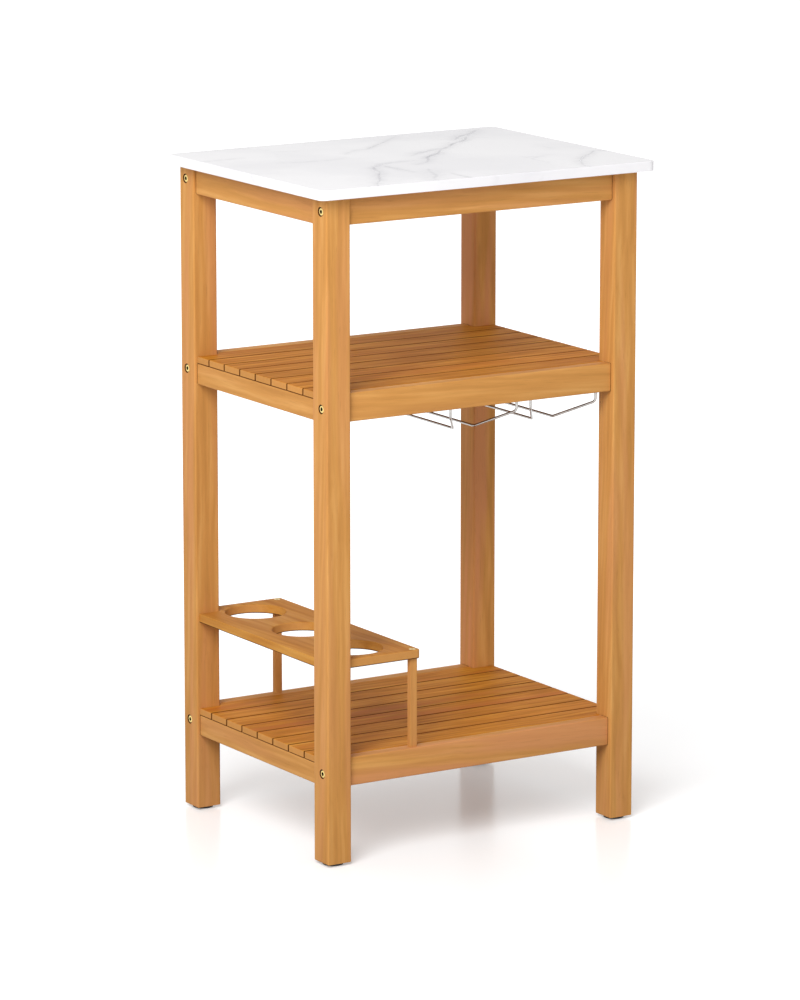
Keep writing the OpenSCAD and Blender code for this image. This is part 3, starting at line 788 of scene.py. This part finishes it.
def edge_shade(plate: Plate, flat: np.ndarray, profile: np.ndarray) -> np.ndarray:
    """Gives the painted shade of a plate's ring points: shadow painted along its joints and edges.

    The shade is 1.4 (1 - d / width), at most 1, with d the distance to a side
    and the width that side's own in dark. With dark_below it is also 1 on the
    eased lower edge.

    Args:
        plate: The plate.
        flat: u and v of each ring's points.
        profile: Inset and height of each ring.

    Returns:
        The shade of each point of each ring.
    """
    low, high = plate.outline.min(axis=0), plate.outline.max(axis=0)
    away = np.concatenate([flat - low, high - flat], axis=-1)
    width = np.array(plate.dark)
    beside = np.where(width > 0, 1.4 * (1 - away / np.maximum(width, 0.001)), 0)
    shade = np.clip(beside, 0, 1).max(axis=-1)
    # Painted shade under the plate's lower edge
    if plate.dark_below:
        # From just above the low face to the arc's end, with a margin for rounding
        rise = profile[:, 1] - plate.w_low
        eased = (rise > 0.05) & (rise <= plate.low_r + 0.01)
        shade = np.maximum(shade, eased[:, None] * 1.0)
    return shade


def make_object(name: str, shape: Shape, material: bpy.types.Material,
                nodes: Sequence[str]) -> bpy.types.Object:
    """Puts a closed mesh into the scene as a piece that stands for CAD nodes.

    Args:
        name: Name of the piece.
        shape: Its mesh.
        material: Its finish.
        nodes: The CAD nodes that it replaces.

    Returns:
        The object.
    """
    mesh = bpy.data.meshes.new(name)
    mesh.from_pydata((shape.points * MM).tolist(), [], shape.faces)
    mesh.polygons.foreach_set("use_smooth", shape.smooth)
    turned = bmesh.new()
    turned.from_mesh(mesh)
    bmesh.ops.recalc_face_normals(turned, faces=turned.faces)
    turned.to_mesh(mesh)
    turned.free()
    mesh.set_sharp_from_angle(angle=math.radians(SHARP))
    mesh.materials.append(material)
    piece = bpy.data.objects.new(name, mesh)
    bpy.context.collection.objects.link(piece)
    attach(piece, "root")
    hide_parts(*nodes)
    LOG.info("%s: %d points, %d faces", name, len(mesh.vertices), len(mesh.polygons))
    return piece


def write_attribute(piece: bpy.types.Object, name: str, values: np.ndarray) -> None:
    """Writes an attribute of a piece's points.

    Args:
        piece: The piece.
        name: Name of the attribute.
        values: A number or a row of three for each point.
    """
    kind, key = ("FLOAT", "value") if values.ndim == 1 else ("FLOAT_VECTOR", "vector")
    attribute = piece.data.attributes.new(name, kind, "POINT")
    attribute.data.foreach_set(key, values.astype(np.float32).ravel())


@dataclass(frozen=True)
class Tone:
    """How one board differs from the next: its lightness and its share of rosy bands."""

    light: float = 1.0
    rosy: float = 0.3


def add_grain(piece: bpy.types.Object, along: Axis, tone: Tone, shade: np.ndarray) -> None:
    """Writes the grain, axis and tone of a wooden piece as attributes of its points.

    The grain is the point's place as along, across and depth, moved by a
    seeded amount, so that each board is cut from another place in its tree.
    The tree tapers: the depth also grows by a seeded share of the way along.

    Args:
        piece: The piece.
        along: The axis that the grain follows.
        tone: The tone of the board.
        shade: The painted shade of each point, at joints, edges and pockets.
    """
    places = np.empty(len(piece.data.vertices) * 3, dtype=np.float32)
    piece.data.vertices.foreach_get("co", places)
    places = np.roll(places.reshape(-1, 3), -along.value, axis=1)
    random = np.random.default_rng(zlib.crc32(piece.name.encode()))
    # In metres, from a place in the middle of the tree
    offset = random.uniform([-5, -0.05, 0.02], [5, 0.05, 0.09])
    grain = places - places.mean(axis=0)
    grain[:, 2] += random.uniform(0.02, 0.06) * grain[:, 0]
    write_attribute(piece, "grain", grain + offset)
    tones = np.tile([tone.light, tone.rosy, 0.0], (len(places), 1))
    # Z carries the painted shade
    tones[:, 2] = shade
    write_attribute(piece, "tone", tones)
    write_attribute(piece, "axis", np.tile(np.eye(3)[along.value], (len(places), 1)))


def wooden_plate(node: str, plate: Plate, material: bpy.types.Material,
                 along: Axis, tone: Tone) -> None:
    """Builds a wooden piece from a plate and dresses it.

    Args:
        node: The CAD node that it replaces, which also names it.
        plate: Its shape.
        material: Its finish.
        along: The axis that its grain follows.
        tone: The tone of the board.
    """
    shape = plate_mesh(plate)
    piece = make_object(f"{node}_wood", shape, material, [node])
    add_grain(piece, along, tone, shape.shade)


def seeded_tone(name: str, light: tuple[float, float], rosy: tuple[float, float]) -> Tone:
    """Picks the tone of a board, the same on each run.

    Args:
        name: Name of the board.
        light: Least and most lightness.
        rosy: Least and most share of rosy bands.

    Returns:
        The tone.
    """
    random = np.random.default_rng(zlib.crc32(f"tone {name}".encode()))
    return Tone(float(random.uniform(*light)), float(random.uniform(*rosy)))


def box_mm(node: str) -> tuple[np.ndarray, np.ndarray]:
    """Gives the lowest and highest corners of a CAD node in millimetres."""
    low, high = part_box(node)
    return np.array(low) / MM, np.array(high) / MM


def middle_mm(node: str) -> np.ndarray:
    """Gives the middle of a CAD node's box in millimetres, to a thousandth."""
    return np.round(sum(box_mm(node)) / 2, 3)


def slat_middles(level: str) -> list[float]:
    """Gives the middles along Y of the slats of a shelf, "mid" or "low"."""
    return [middle_mm(f"{level}_slat_{number}")[1] for number in range(1, SLATS + 1)]


# Bolts, the board's screws and the wires' ends stand in the middle of the long rails
ROW_Y = tuple(middle_mm(f"mid_rail_{row}")[1] for row in ROWS)
BOLT_Z = tuple(middle_mm(f"{level}_front")[2] for level in LEVELS)


# The table's sub-assemblies

@dataclass
class SubAssembly:
    """A part of the table, built with the table's finishes."""

    finishes: Finishes

    def build(self) -> None:
        """Builds its pieces."""
        raise NotImplementedError


@dataclass(frozen=True)
class Vein:
    """A grey vein of the stone: a bent line on the slab, its half width and strength."""

    points: tuple[tuple[float, float], ...]
    half: float
    strength: float


@dataclass
class TopSlab(SubAssembly):
    """The stone-look top, with a fine grid on its upper face that carries its veins."""

    corner_r: float = 10.0
    upper_r: float = 1.2
    lower_r: float = 0.6
    columns: int = 301
    rows: int = 217
    corner_rows: int = 9
    veins: tuple[Vein, ...] = (
        Vein(((228, 182), (201, 159), (162, 132), (138, 111), (131, 122)), 4.8, 0.85),
        Vein(((190, 150), (150, 104), (114, 77), (82, 47), (63, 45), (36, 34), (1, 6)),
             4.6, 0.90),
        Vein(((114, 77), (82, 47), (50, 12), (17, -16), (-9, -53), (-36, -63)), 4.4, 0.85),
        Vein(((96, 190), (63, 154), (37, 135), (14, 114), (-8, 99), (-30, 92), (-66, 66)),
             3.2, 0.60),
        Vein(((-2, -34), (-30, -28), (-66, -33), (-92, -57), (-111, -97), (-127, -125),
              (-167, -189), (-184, -215)), 4.2, 0.85),
        Vein(((-80, -42), (-75, -53), (-71, -82), (-69, -121), (-55, -123)), 3.6, 0.70),
        Vein(((-36, -100), (-45, -122), (-58, -150), (-77, -180), (-84, -215)), 8.0, 0.55),
        Vein(((-28, -140), (-32, -155), (-36, -184), (-30, -225)), 2.8, 0.65),
        Vein(((290, -90), (257, -85), (242, -81), (221, -99), (171, -147), (152, -194),
              (160, -220)), 3.8, 0.65),
        Vein(((-290, 104), (-256, 108), (-230, 109), (-190, 116)), 3.2, 0.45),
        Vein(((-180, 50), (-166, 42), (-144, 34), (-100, 34), (-70, 44)), 3.2, 0.35),
    )

    def grid(self, inset: float, low: np.ndarray, high: np.ndarray) -> np.ndarray:
        """Gives a grid that fills the slab's outline, moved in by an inset.

        Row by row, y runs up the corner as -h + r (1 - cos b), then evenly,
        and down the other corner. A row's half width is w - r + r sin b in a
        corner and w between them, and x is s times it, with s from -1 to 1.

        Args:
            inset: The inset.
            low: Lowest corner of the slab.
            high: Highest corner of the slab.

        Returns:
            x and y of the points, by row and column.
        """
        half = (high - low)[:2] / 2 - inset
        r = self.corner_r - inset
        b = np.linspace(0, math.pi / 2, self.corner_rows)
        rise = half[1] - r * (1 - np.cos(b))
        wide = half[0] - r + r * np.sin(b)
        middle = np.linspace(-half[1] + r, half[1] - r, self.rows)[1:-1]
        y = np.concatenate([-rise, middle, rise[::-1]])
        width = np.concatenate([wide, np.full(len(middle), half[0]), wide[::-1]])
        x = np.linspace(-1, 1, self.columns)[None, :] * width[:, None]
        return np.dstack([x, np.broadcast_to(y[:, None], x.shape)])

    def rim(self, count: int) -> np.ndarray:
        """Gives the point numbers round the edge of such a grid, counterclockwise.

        Args:
            count: Number of its rows.

        Returns:
            The point numbers.
        """
        ids = np.arange(count * self.columns).reshape(count, self.columns)
        return np.concatenate([ids[0], ids[1:, -1], ids[-1, -2::-1], ids[-2:0:-1, 0]])

    def vein_depth(self, places: np.ndarray) -> np.ndarray:
        """Says how grey the veins make each place.

        A vein fades to its ends as f = (4 t (1 - t))^0.4, with t the share of
        its length. At the distance d from its line it gives
        strength f max(exp(-(d / 0.55 half f)^2), 0.4 exp(-(d / 2.4 half)^2)),
        a sharp core in a soft skirt, and the greyest vein counts. The place is
        first moved by 1.6 sin(x / 13 + y / 17) and 1.6 sin(y / 11 - x / 19),
        which bends the lines. They end 1 mm down the rim, which stays white.

        Args:
            places: x, y and height below the upper face.

        Returns:
            The greyness, from 0 to 1.
        """
        x, y, below = places.T
        bent = np.column_stack([x + 1.6 * np.sin(x / 13 + y / 17),
                                y + 1.6 * np.sin(y / 11 - x / 19)])
        depth = np.zeros(len(places))
        for vein in self.veins:
            line = np.array(vein.points, dtype=float)
            lengths = np.linalg.norm(np.diff(line, axis=0), axis=1)
            passed = np.cumsum(lengths) - lengths
            for start, end, length, before in zip(line[:-1], line[1:], lengths, passed):
                run = end - start
                share = np.clip((bent - start) @ run / length ** 2, 0, 1)
                gap = np.linalg.norm(bent - start - share[:, None] * run, axis=1)
                way = (before + share * length) / lengths.sum()
                fade = np.maximum(4 * way * (1 - way), 0.001) ** 0.4
                core = np.exp(-(gap / (0.55 * vein.half * fade)) ** 2)
                skirt = 0.4 * np.exp(-(gap / (2.4 * vein.half)) ** 2)
                depth = np.maximum(depth, vein.strength * fade * np.maximum(core, skirt))
        return depth * np.clip(1 - below, 0, 1)

    def build(self) -> None:
        """Makes the slab with rounded corners and eased rims."""
        low, high = box_mm("table_top")
        profile = edge_profile(Plate(np.empty((0, 2)), low[2], high[2], self.lower_r,
                                     self.upper_r))
        grids = [self.grid(inset, low, high) for inset in profile[:, 0]]
        layers = [np.dstack([flat, np.full(flat.shape[:2], height)])
                  for flat, height in zip(grids, profile[:, 1])]
        around = self.rim(len(grids[0]))
        shape = Shape()
        rings = shape.add_rings(np.stack([layer.reshape(-1, 3)[around] for layer in layers[:-1]]))
        top = shape.add_points(layers[-1])
        shape.add_faces(strip_faces(rings[-1], top.ravel()[around]), True)
        cells = np.stack([top[:-1, :-1], top[:-1, 1:], top[1:, 1:], top[1:, :-1]], axis=-1)
        shape.add_faces(cells.reshape(-1, 4).tolist(), False)
        shape.add_faces([rings[0].tolist()], False)
        shape.points[:, :2] += (low + high)[:2] / 2
        piece = make_object("table_top_slab", shape, self.finishes.stone,
                            ["table_top"])
        places = shape.points * [1, 1, -1] + [0, 0, high[2]]
        write_attribute(piece, "vein", self.vein_depth(places))


@dataclass
class Legs(SubAssembly):
    """The four square legs, with the pockets of the frame bolts."""

    edge_r: float = 2.0
    end_share: float = 0.25
    # The painted shade line at the top end, where the slab's shadow falls
    joint: float = 0.45
    pocket_r: float = 6.4
    pocket_depth: float = 3.4
    light: tuple[float, float] = (0.97, 1.03)
    rosy: tuple[float, float] = (0.25, 0.5)
    # One leg is cut from rosier wood, and its lightness is also raised as painted fill light on this
    # shaded rear leg
    rosy_leg: str = "leg_rear_right"
    leg_light: tuple[float, float] = (1.03, 1.09)
    leg_rosy: tuple[float, float] = (0.8, 1.0)

    def build(self) -> None:
        """Makes each leg as a plate across X, drilled from its outer side."""
        for (row, y), side in product(zip(ROWS, ROW_Y), Side):
            node = f"leg_{row}_{side.word}"
            low, high = box_mm(node)
            pockets = [Pocket(y, z, self.pocket_r, self.pocket_depth, side.outer)
                       for z in BOLT_Z]
            plate = Plate(bar_outline(low[1:], high[1:], False), low[0], high[0],
                          self.edge_r, self.edge_r, Lie.ACROSS_X, pockets=pockets,
                          inset_v=self.end_share, dark=(0, 0, 0, self.joint))
            ranges = (self.light, self.rosy)
            if node == self.rosy_leg:
                ranges = (self.leg_light, self.leg_rosy)
            wooden_plate(node, plate, self.finishes.frame_wood, Axis.Z,
                         seeded_tone(node, *ranges))


@dataclass
class Rails(SubAssembly):
    """The aprons and the rails of both shelves."""

    edge_r: float = 1.5
    # The painted shade line where a rail meets a leg, and an apron the slab, where shadow falls in
    # the joint
    joint: float = 1.4
    # The holes of the barrel nuts, in the inner faces
    nut_x: float = 178.0
    nut_r: float = 5.1
    nut_depth: float = 3.0
    # The end slats' screws stand clear of the legs, the others in their slats' middles
    end_screw_y: tuple[float, float] = (-126.5, 142.5)
    light: tuple[float, float] = (0.97, 1.03)
    side_light: tuple[float, float] = (0.98, 1.03)
    rosy: tuple[float, float] = (0.1, 0.4)
    low_rosy: tuple[float, float] = (0.6, 0.8)

    def long_rail(self, node: str) -> None:
        """Makes a rail along X, drilled for its barrel nuts from its inner face.

        Args:
            node: The CAD node.
        """
        low, high = box_mm(node)
        inner = Face.HIGH if node.endswith("front") else Face.LOW
        z = (low[2] + high[2]) / 2
        pockets = [Pocket(x, z, self.nut_r, self.nut_depth, inner)
                   for x in (-self.nut_x, self.nut_x)]
        upper = self.joint if node.startswith("apron") else 0
        plate = Plate(bar_outline(low[[0, 2]], high[[0, 2]], True), low[1], high[1],
                      self.edge_r, self.edge_r, Lie.ACROSS_Y, pockets=pockets,
                      dark=(self.joint, 0, self.joint, upper))
        rosy = self.low_rosy if node.startswith("low") else self.rosy
        wooden_plate(node, plate, self.finishes.frame_wood, Axis.X,
                     seeded_tone(node, self.light, rosy))

    def side_rail(self, node: str) -> None:
        """Makes a rail along Y; one of a shelf is drilled from below for its slat screws.

        Args:
            node: The CAD node.
        """
        low, high = box_mm(node)
        x = (low[0] + high[0]) / 2
        places: list[float] = []
        if not node.startswith("apron"):
            first, last = self.end_screw_y
            places = [first, *slat_middles(node[:3])[1:-1], last]
        pockets = [Pocket(x, y, SCREW_R, SCREW_DEPTH, Face.LOW) for y in places]
        plate = Plate(bar_outline(low[:2], high[:2], False), low[2], high[2], self.edge_r,
                      self.edge_r, pockets=pockets, dark=(0, self.joint, 0, self.joint))
        wooden_plate(node, plate, self.finishes.frame_wood, Axis.Y,
                     seeded_tone(node, self.side_light, self.rosy))

    def build(self) -> None:
        """Makes the four rails of each level."""
        for level in LEVELS:
            for row in ROWS:
                self.long_rail(f"{level}_{row}")
            for side in Side:
                self.side_rail(f"{level}_{side.word}")


@dataclass
class SlattedShelf(SubAssembly):
    """The eight slats of a shelf and the batten below their middle."""

    level: str
    light: tuple[float, float]
    rosy: tuple[float, float]
    edge_r: float = 1.2
    lower_r: float = 1.3
    # The painted shade line along each edge that faces the next slat, where the gap is in shadow
    joint: float = 1.45
    corner_r: float = 1.5
    batten_r: float = 1.5

    def outline(self, low: np.ndarray, high: np.ndarray) -> np.ndarray:
        """Gives a slat's outline from above, with the end slats' notches round the legs.

        Args:
            low: Lowest corner of the slat's box.
            high: Highest corner of the slat's box.

        Returns:
            The points, counterclockwise.
        """
        r = self.corner_r
        x = NOTCH_X
        front, rear = NOTCH_Y
        if low[1] < front:
            return rounded_outline([
                (-x, low[1], 0), (x, low[1], 0), (x, front, 0), (high[0], front, 0),
                (high[0], high[1], r), (low[0], high[1], r), (low[0], front, 0),
                (-x, front, 0)], SMALL_ARC)
        if high[1] > rear:
            return rounded_outline([
                (low[0], low[1], r), (high[0], low[1], r), (high[0], rear, 0), (x, rear, 0),
                (x, high[1], 0), (-x, high[1], 0), (-x, rear, 0), (low[0], rear, 0)], SMALL_ARC)
        return rectangle(low, high, r)

    def build(self) -> None:
        """Makes the slats and the batten, drilled from below for its screws."""
        for number in range(1, SLATS + 1):
            node = f"{self.level}_slat_{number}"
            low, high = box_mm(node)
            front = self.joint if number > 1 else 0
            rear = self.joint if number < SLATS else 0
            # Painted shade in the gaps between slats and under their lower edges
            plate = Plate(self.outline(low, high), low[2], high[2], self.lower_r, self.edge_r,
                          dark=(0, front, 0, rear), dark_below=True)
            wooden_plate(node, plate, self.finishes.slat_wood, Axis.X,
                         seeded_tone(node, self.light, self.rosy))
        node = f"{self.level}_batten"
        low, high = box_mm(node)
        pockets = [Pocket(0.0, y, SCREW_R, SCREW_DEPTH, Face.LOW)
                   for y in slat_middles(self.level)]
        plate = Plate(rectangle(low, high), low[2], high[2], self.batten_r, pockets=pockets,
                      inset_v=0.0)
        wooden_plate(node, plate, self.finishes.frame_wood, Axis.Y, Tone())


@dataclass
class BottleBoard(SubAssembly):
    """The board with three bottle holes, and its two posts."""

    corner_r: float = 5.0
    edge_r: float = 1.2
    hole_r: float = 42.0
    hole_x: float = -165.75
    hole_y: tuple[float, float, float] = (-117.0, 8.0, 133.0)
    screw_x: float = -102.25
    screw_r: float = 4.6
    screw_depth: float = 2.6
    post_r: float = 1.0
    around: int = 96
    tone: Tone = Tone(1.0, 0.15)

    def build(self) -> None:
        """Makes the board and its posts."""
        low, high = box_mm("bottle_board")
        r = self.corner_r
        x = -NOTCH_X
        front, rear = NOTCH_Y
        outline = rounded_outline([
            (low[0], front, 0), (x, front, 0), (x, low[1], 0), (high[0], low[1], r),
            (high[0], high[1], r), (x, high[1], 0), (x, rear, 0), (low[0], rear, 0)])
        holes = [circle(self.hole_x, y, self.hole_r, self.around) for y in self.hole_y]
        pockets = [Pocket(self.screw_x, y, self.screw_r, self.screw_depth) for y in ROW_Y]
        # Painted shade on the board's eased lower edge
        board = Plate(outline, low[2], high[2], self.edge_r, self.edge_r, holes=holes,
                      pockets=pockets, dark_below=True)
        wooden_plate("bottle_board", board, self.finishes.board_wood, Axis.Y,
                     self.tone)
        for row in ROWS:
            node = f"bottle_post_{row}"
            low, high = box_mm(node)
            post = Plate(rectangle(low, high, self.post_r), low[2], high[2])
            wooden_plate(node, post, self.finishes.frame_wood, Axis.Z, Tone())


@dataclass
class StemwareRacks(SubAssembly):
    """The four bent wires that hang stemware below the middle shelf."""

    wire_r: float = 1.75
    bend_r: float = 7.0
    # The middle of each rack, and the way between its two wires
    rack_x: tuple[float, float] = (9.05, 135.05)
    gap: float = 33.0
    # How far out, back and down the front end of a wire runs to the straight part
    flare_out: float = 35.5
    flare_back: float = 50.0
    flare_down: float = 25.0
    low_z: float = 556.0
    end_z: float = 606.0
    around: int = 20

    def path(self, points: np.ndarray, steps: int = 10) -> np.ndarray:
        """Rounds a bent line with one radius.

        At an inner point with the directions d1 and d2 the arc leaves the
        line r tan(turn / 2) before the point. Its points are the centre plus
        r (-n1 cos b + d1 sin b), with n1 the inward normal of d1.

        Args:
            points: Corners of the line.
            steps: Steps in an arc.

        Returns:
            The points of the rounded line.
        """
        out = [points[:1]]
        for before, corner, after in zip(points[:-2], points[1:-1], points[2:]):
            d1 = (corner - before) / np.linalg.norm(corner - before)
            d2 = (after - corner) / np.linalg.norm(after - corner)
            turn = math.acos(float(d1 @ d2))
            n1 = (d2 - d1 * (d1 @ d2)) / math.sin(turn)
            centre = corner - d1 * self.bend_r * math.tan(turn / 2) + n1 * self.bend_r
            b = np.linspace(0, turn, steps + 1)[:, None]
            out.append(centre + self.bend_r * (-n1 * np.cos(b) + d1 * np.sin(b)))
        out.append(points[-1:])
        return np.vstack(out)

    def tube(self, line: np.ndarray) -> Shape:
        """Carries a circle along a line that never runs along X.

        A ring's point is the line's point plus r (cos a N + sin a B), where N
        is the unit of T x X, B is T x N and T is the line's direction.

        Args:
            line: The points of the line.

        Returns:
            The mesh.
        """
        tangent = np.gradient(line, axis=0)
        tangent /= np.linalg.norm(tangent, axis=1)[:, None]
        normal = np.cross(tangent, [1.0, 0.0, 0.0])
        normal /= np.linalg.norm(normal, axis=1)[:, None]
        other = np.cross(tangent, normal)
        a = np.linspace(0, 2 * math.pi, self.around, endpoint=False)[None, :, None]
        shape = Shape()
        ids = shape.add_rings(line[:, None] + self.wire_r * (np.cos(a) * normal[:, None]
                                                             + np.sin(a) * other[:, None]))
        shape.add_faces([ids[0].tolist(), ids[-1].tolist()], False)
        return shape

    def build(self) -> None:
        """Bends each wire from the front rail, in along its flare, back and up."""
        front, rear = ROW_Y
        for number, (middle, side) in enumerate(product(self.rack_x, Side), 1):
            x = middle + side.value * self.gap / 2
            tip = x + side.value * self.flare_out
            corners = np.array([[tip, front, self.end_z],
                                [tip, front, self.low_z + self.flare_down],
                                [x, front + self.flare_back, self.low_z],
                                [x, rear, self.low_z],
                                [x, rear, self.end_z]])
            make_object(f"rack_wire_{number}_chrome", self.tube(self.path(corners)),
                        self.finishes.chrome, [f"rack_wire_{number}"])


@dataclass
class Feet(SubAssembly):
    """The black moulded glides below the legs."""

    radius: float = 14.0
    rim_r: float = 1.2
    upper_r: float = 0.3
    nail_r: float = 3.1
    nail_depth: float = 1.5
    around: int = 72

    def build(self) -> None:
        """Makes each glide as a round plate with a pocket for its nail."""
        for row, side in product(ROWS, Side):
            node = f"foot_{row}_{side.word}"
            low, high = box_mm(node)
            u, v = (low[:2] + high[:2]) / 2
            plate = Plate(circle(u, v, self.radius, self.around)[::-1], low[2], high[2], self.rim_r,
                          self.upper_r,
                          pockets=[Pocket(u, v, self.nail_r, self.nail_depth, Face.LOW)])
            make_object(f"{node}_glide", plate_mesh(plate), self.finishes.plastic,
                        [node])


@dataclass
class FrameBolts(SubAssembly):
    """The twelve brass socket-headed bolts in the legs' outer side faces."""

    head_r: float = 5.0
    head_t: float = 2.6
    rim_r: float = 0.7
    # How deep the head lies below the leg's outer face, and where that face is
    recess: float = 0.8
    face_x: float = 242.0
    socket_w: float = 5.0
    socket_t: float = 1.8
    shank_r: float = 3.0
    shank_l: float = 68.6
    head_around: int = 40
    shank_around: int = 24

    def bolt(self, side: Side, y: float, z: float) -> list[Plate]:
        """Gives a bolt's head, with its socket, and its shank.

        Args:
            side: The side of the table.
            y: Place of the axis along Y.
            z: Place of the axis along Z.

        Returns:
            The head and the shank as plates across X.
        """
        outer = self.face_x - self.recess
        neck = outer - self.head_t
        head = sorted((side.value * outer, side.value * neck))
        shank = sorted((side.value * neck, side.value * (neck - self.shank_l)))
        rims = (0.0, self.rim_r) if side is Side.RIGHT else (self.rim_r, 0.0)
        socket = Pocket(y, z, self.socket_w / math.sqrt(3), self.socket_t, side.outer, sides=6)
        return [Plate(circle(y, z, self.head_r, self.head_around)[::-1], *head, *rims, Lie.ACROSS_X,
                      pockets=[socket]),
                Plate(circle(y, z, self.shank_r, self.shank_around)[::-1], *shank, lie=Lie.ACROSS_X)]

    def build(self) -> None:
        """Makes all twelve bolts as one piece, as in the frame."""
        shape = Shape()
        for side, y, z in product(Side, ROW_Y, BOLT_Z):
            for plate in self.bolt(side, y, z):
                shape.join(plate_mesh(plate))
        piece = make_object("frame_bolts_brass", shape, self.finishes.brass,
                            ["frame_bolts"])
        # The shade marks each socket, where the brass gets painted shade
        write_attribute(piece, "shade", shape.shade)


@dataclass
class Hardware(SubAssembly):
    """The fasteners, whose CAD meshes stay and get their finishes."""

    brass: tuple[str, ...] = ("board_screws",)
    zinc: tuple[str, ...] = ("barrel_nuts", "slat_screws", "batten_screws", "top_brackets",
                             "bracket_screws", "top_screws", "foot_nails")
    beech: tuple[str, ...] = ("rail_dowels", "side_dowels", "batten_dowels", "board_dowels",
                              "post_dowels")

    def build(self) -> None:
        """Gives each group of fasteners its material."""
        groups = ((self.brass, self.finishes.brass), (self.zinc, self.finishes.zinc),
                  (self.beech, self.finishes.beech))
        for nodes, material in groups:
            for node in nodes:
                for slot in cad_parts[node].material_slots:
                    slot.material = material
                LOG.info("%s: %s", node, material.name)


@dataclass
class Studio:
    """The floor, the light and the camera, in metres, degrees and watts."""

    camera_place: tuple[float, float, float] = (-3.74872, -5.97609, 1.90781)
    yaw: float = 31.982
    pitch: float = 11.778
    # Focal length and sensor height in millimetres
    lens: float = 191.907
    sensor: float = 36.0
    key_power: float = 124.0
    key_aim: tuple[float, float, float] = (0.0, 0.0, 0.45)
    key_from: tuple[float, float, float] = (-0.67, -0.55, 0.60)
    key_away: float = 3.8
    key_size: float = 2.32
    # Strength of the surround's light, where what is seen of it has 1
    sky: float = 0.50
    floor_half: float = 60.0

    def seen(self, add: AddNode) -> bpy.types.Node:
        """Tells the rays that show the surround, straight or by gloss or glass, from its light.

        Args:
            add: add_node for the floor or the world.

        Returns:
            A node that gives 1 for a camera, glossy or transmission ray, and else 0.
        """
        path = add("LightPath").outputs
        first = add("Math", {0: path["Is Camera Ray"], 1: path["Is Glossy Ray"]},
                    operation="MAXIMUM")
        return add("Math", {0: first, 1: path["Is Transmission Ray"]}, operation="MAXIMUM")

    def floor(self) -> None:
        """Lays a glossy white floor, lifted to the eye more and more away from the table."""
        material = bpy.data.materials.new("white_studio_floor")
        add = empty_tree(material)
        place = add("TexCoord").outputs["Object"]
        away = add("VectorMath", {0: place}, operation="LENGTH").outputs["Value"]
        # Near the table the floor throws little light back up at the legs
        near = add("MapRange", {"Value": away, "From Min": 0.5, "From Max": 1.5,
                                "To Min": 1.0, "To Max": 0.0}, interpolation_type="SMOOTHSTEP")
        bounce = add("LightPath").outputs["Is Diffuse Ray"]
        held = add("Math", {0: near, 1: bounce}, operation="MULTIPLY")
        base = add("Mix", {FACTOR: held, UNDER: "#FBFCFD", OVER: "#C4C4C4"}, data_type="RGBA")
        shader = add("BsdfPrincipled", {"Base Color": base.outputs[MIXED], "Roughness": 0.22,
                                        "Specular IOR Level": 0.3})
        amount = add("MapRange", {"Value": away, "From Min": 0.45, "From Max": 1.3,
                                  "To Min": 0.24, "To Max": 0.62},
                     interpolation_type="SMOOTHSTEP")
        lift = add("Emission", {"Color": "#FFFFFF", "Strength": amount})
        dark = add("Emission", {"Color": "#000000", "Strength": 0.0})
        seen = add("MixShader", {"Fac": self.seen(add), 1: dark, 2: lift})
        both = add("AddShader", {0: shader, 1: seen})
        add("OutputMaterial", {"Surface": both})
        h = self.floor_half
        mesh = bpy.data.meshes.new("studio_floor")
        mesh.from_pydata([(-h, -h, 0), (h, -h, 0), (h, h, 0), (-h, h, 0)], [], [(0, 1, 2, 3)])
        mesh.materials.append(material)
        floor = bpy.data.objects.new("studio_floor", mesh)
        bpy.context.collection.objects.link(floor)

    def light(self) -> None:
        """Sets a soft key from the front left and a plain white surround."""
        world = bpy.data.worlds.new("studio")
        bpy.context.scene.world = world
        add = empty_tree(world)
        strength = add("MapRange", {"Value": self.seen(add), "To Min": self.sky})
        sky = add("Background", {"Color": "#FFFFFF", "Strength": strength})
        add("OutputWorld", {"Surface": sky})
        lamp = bpy.data.lights.new("key", "AREA")
        lamp.shape = "DISK"
        lamp.size = self.key_size
        lamp.energy = self.key_power
        key = bpy.data.objects.new("key", lamp)
        way = Vector(self.key_from).normalized()
        key.location = Vector(self.key_aim) + way * self.key_away
        key.rotation_euler = way.to_track_quat("Z", "Y").to_euler()
        key.visible_camera = False
        # Gloss shows the white surround alone, so that no view of the top turns plain white
        key.visible_glossy = False
        bpy.context.collection.objects.link(key)

    def camera(self) -> None:
        """Sets the camera at the photograph's viewing angle."""
        data = bpy.data.cameras.new("camera")
        data.sensor_fit = "VERTICAL"
        data.sensor_height = self.sensor
        data.lens = self.lens
        camera = bpy.data.objects.new("camera", data)
        camera.location = self.camera_place
        camera.rotation_euler = Euler((math.radians(90 - self.pitch), 0.0,
                                       math.radians(-self.yaw)))
        bpy.context.collection.objects.link(camera)
        bpy.context.scene.camera = camera

    def build(self) -> None:
        """Sets up the stage."""
        bpy.context.scene.view_settings.view_transform = "Standard"
        self.floor()
        self.light()
        self.camera()
        LOG.info("studio: floor, key and camera")


def main() -> None:
    """Builds the stage and the table."""
    logging.basicConfig(level=logging.INFO, format="%(message)s")
    Studio().build()
    finishes = Finishes()
    parts: list[SubAssembly] = [
        TopSlab(finishes),
        Legs(finishes),
        Rails(finishes),
        SlattedShelf(finishes, "mid", light=(0.90, 1.04), rosy=(0.0, 0.5)),
        SlattedShelf(finishes, "low", light=(0.95, 1.10), rosy=(0.0, 0.8)),
        BottleBoard(finishes),
        StemwareRacks(finishes),
        Feet(finishes),
        FrameBolts(finishes),
        Hardware(finishes),
    ]
    for part in parts:
        part.build()


if __name__ == "__main__":
    main()
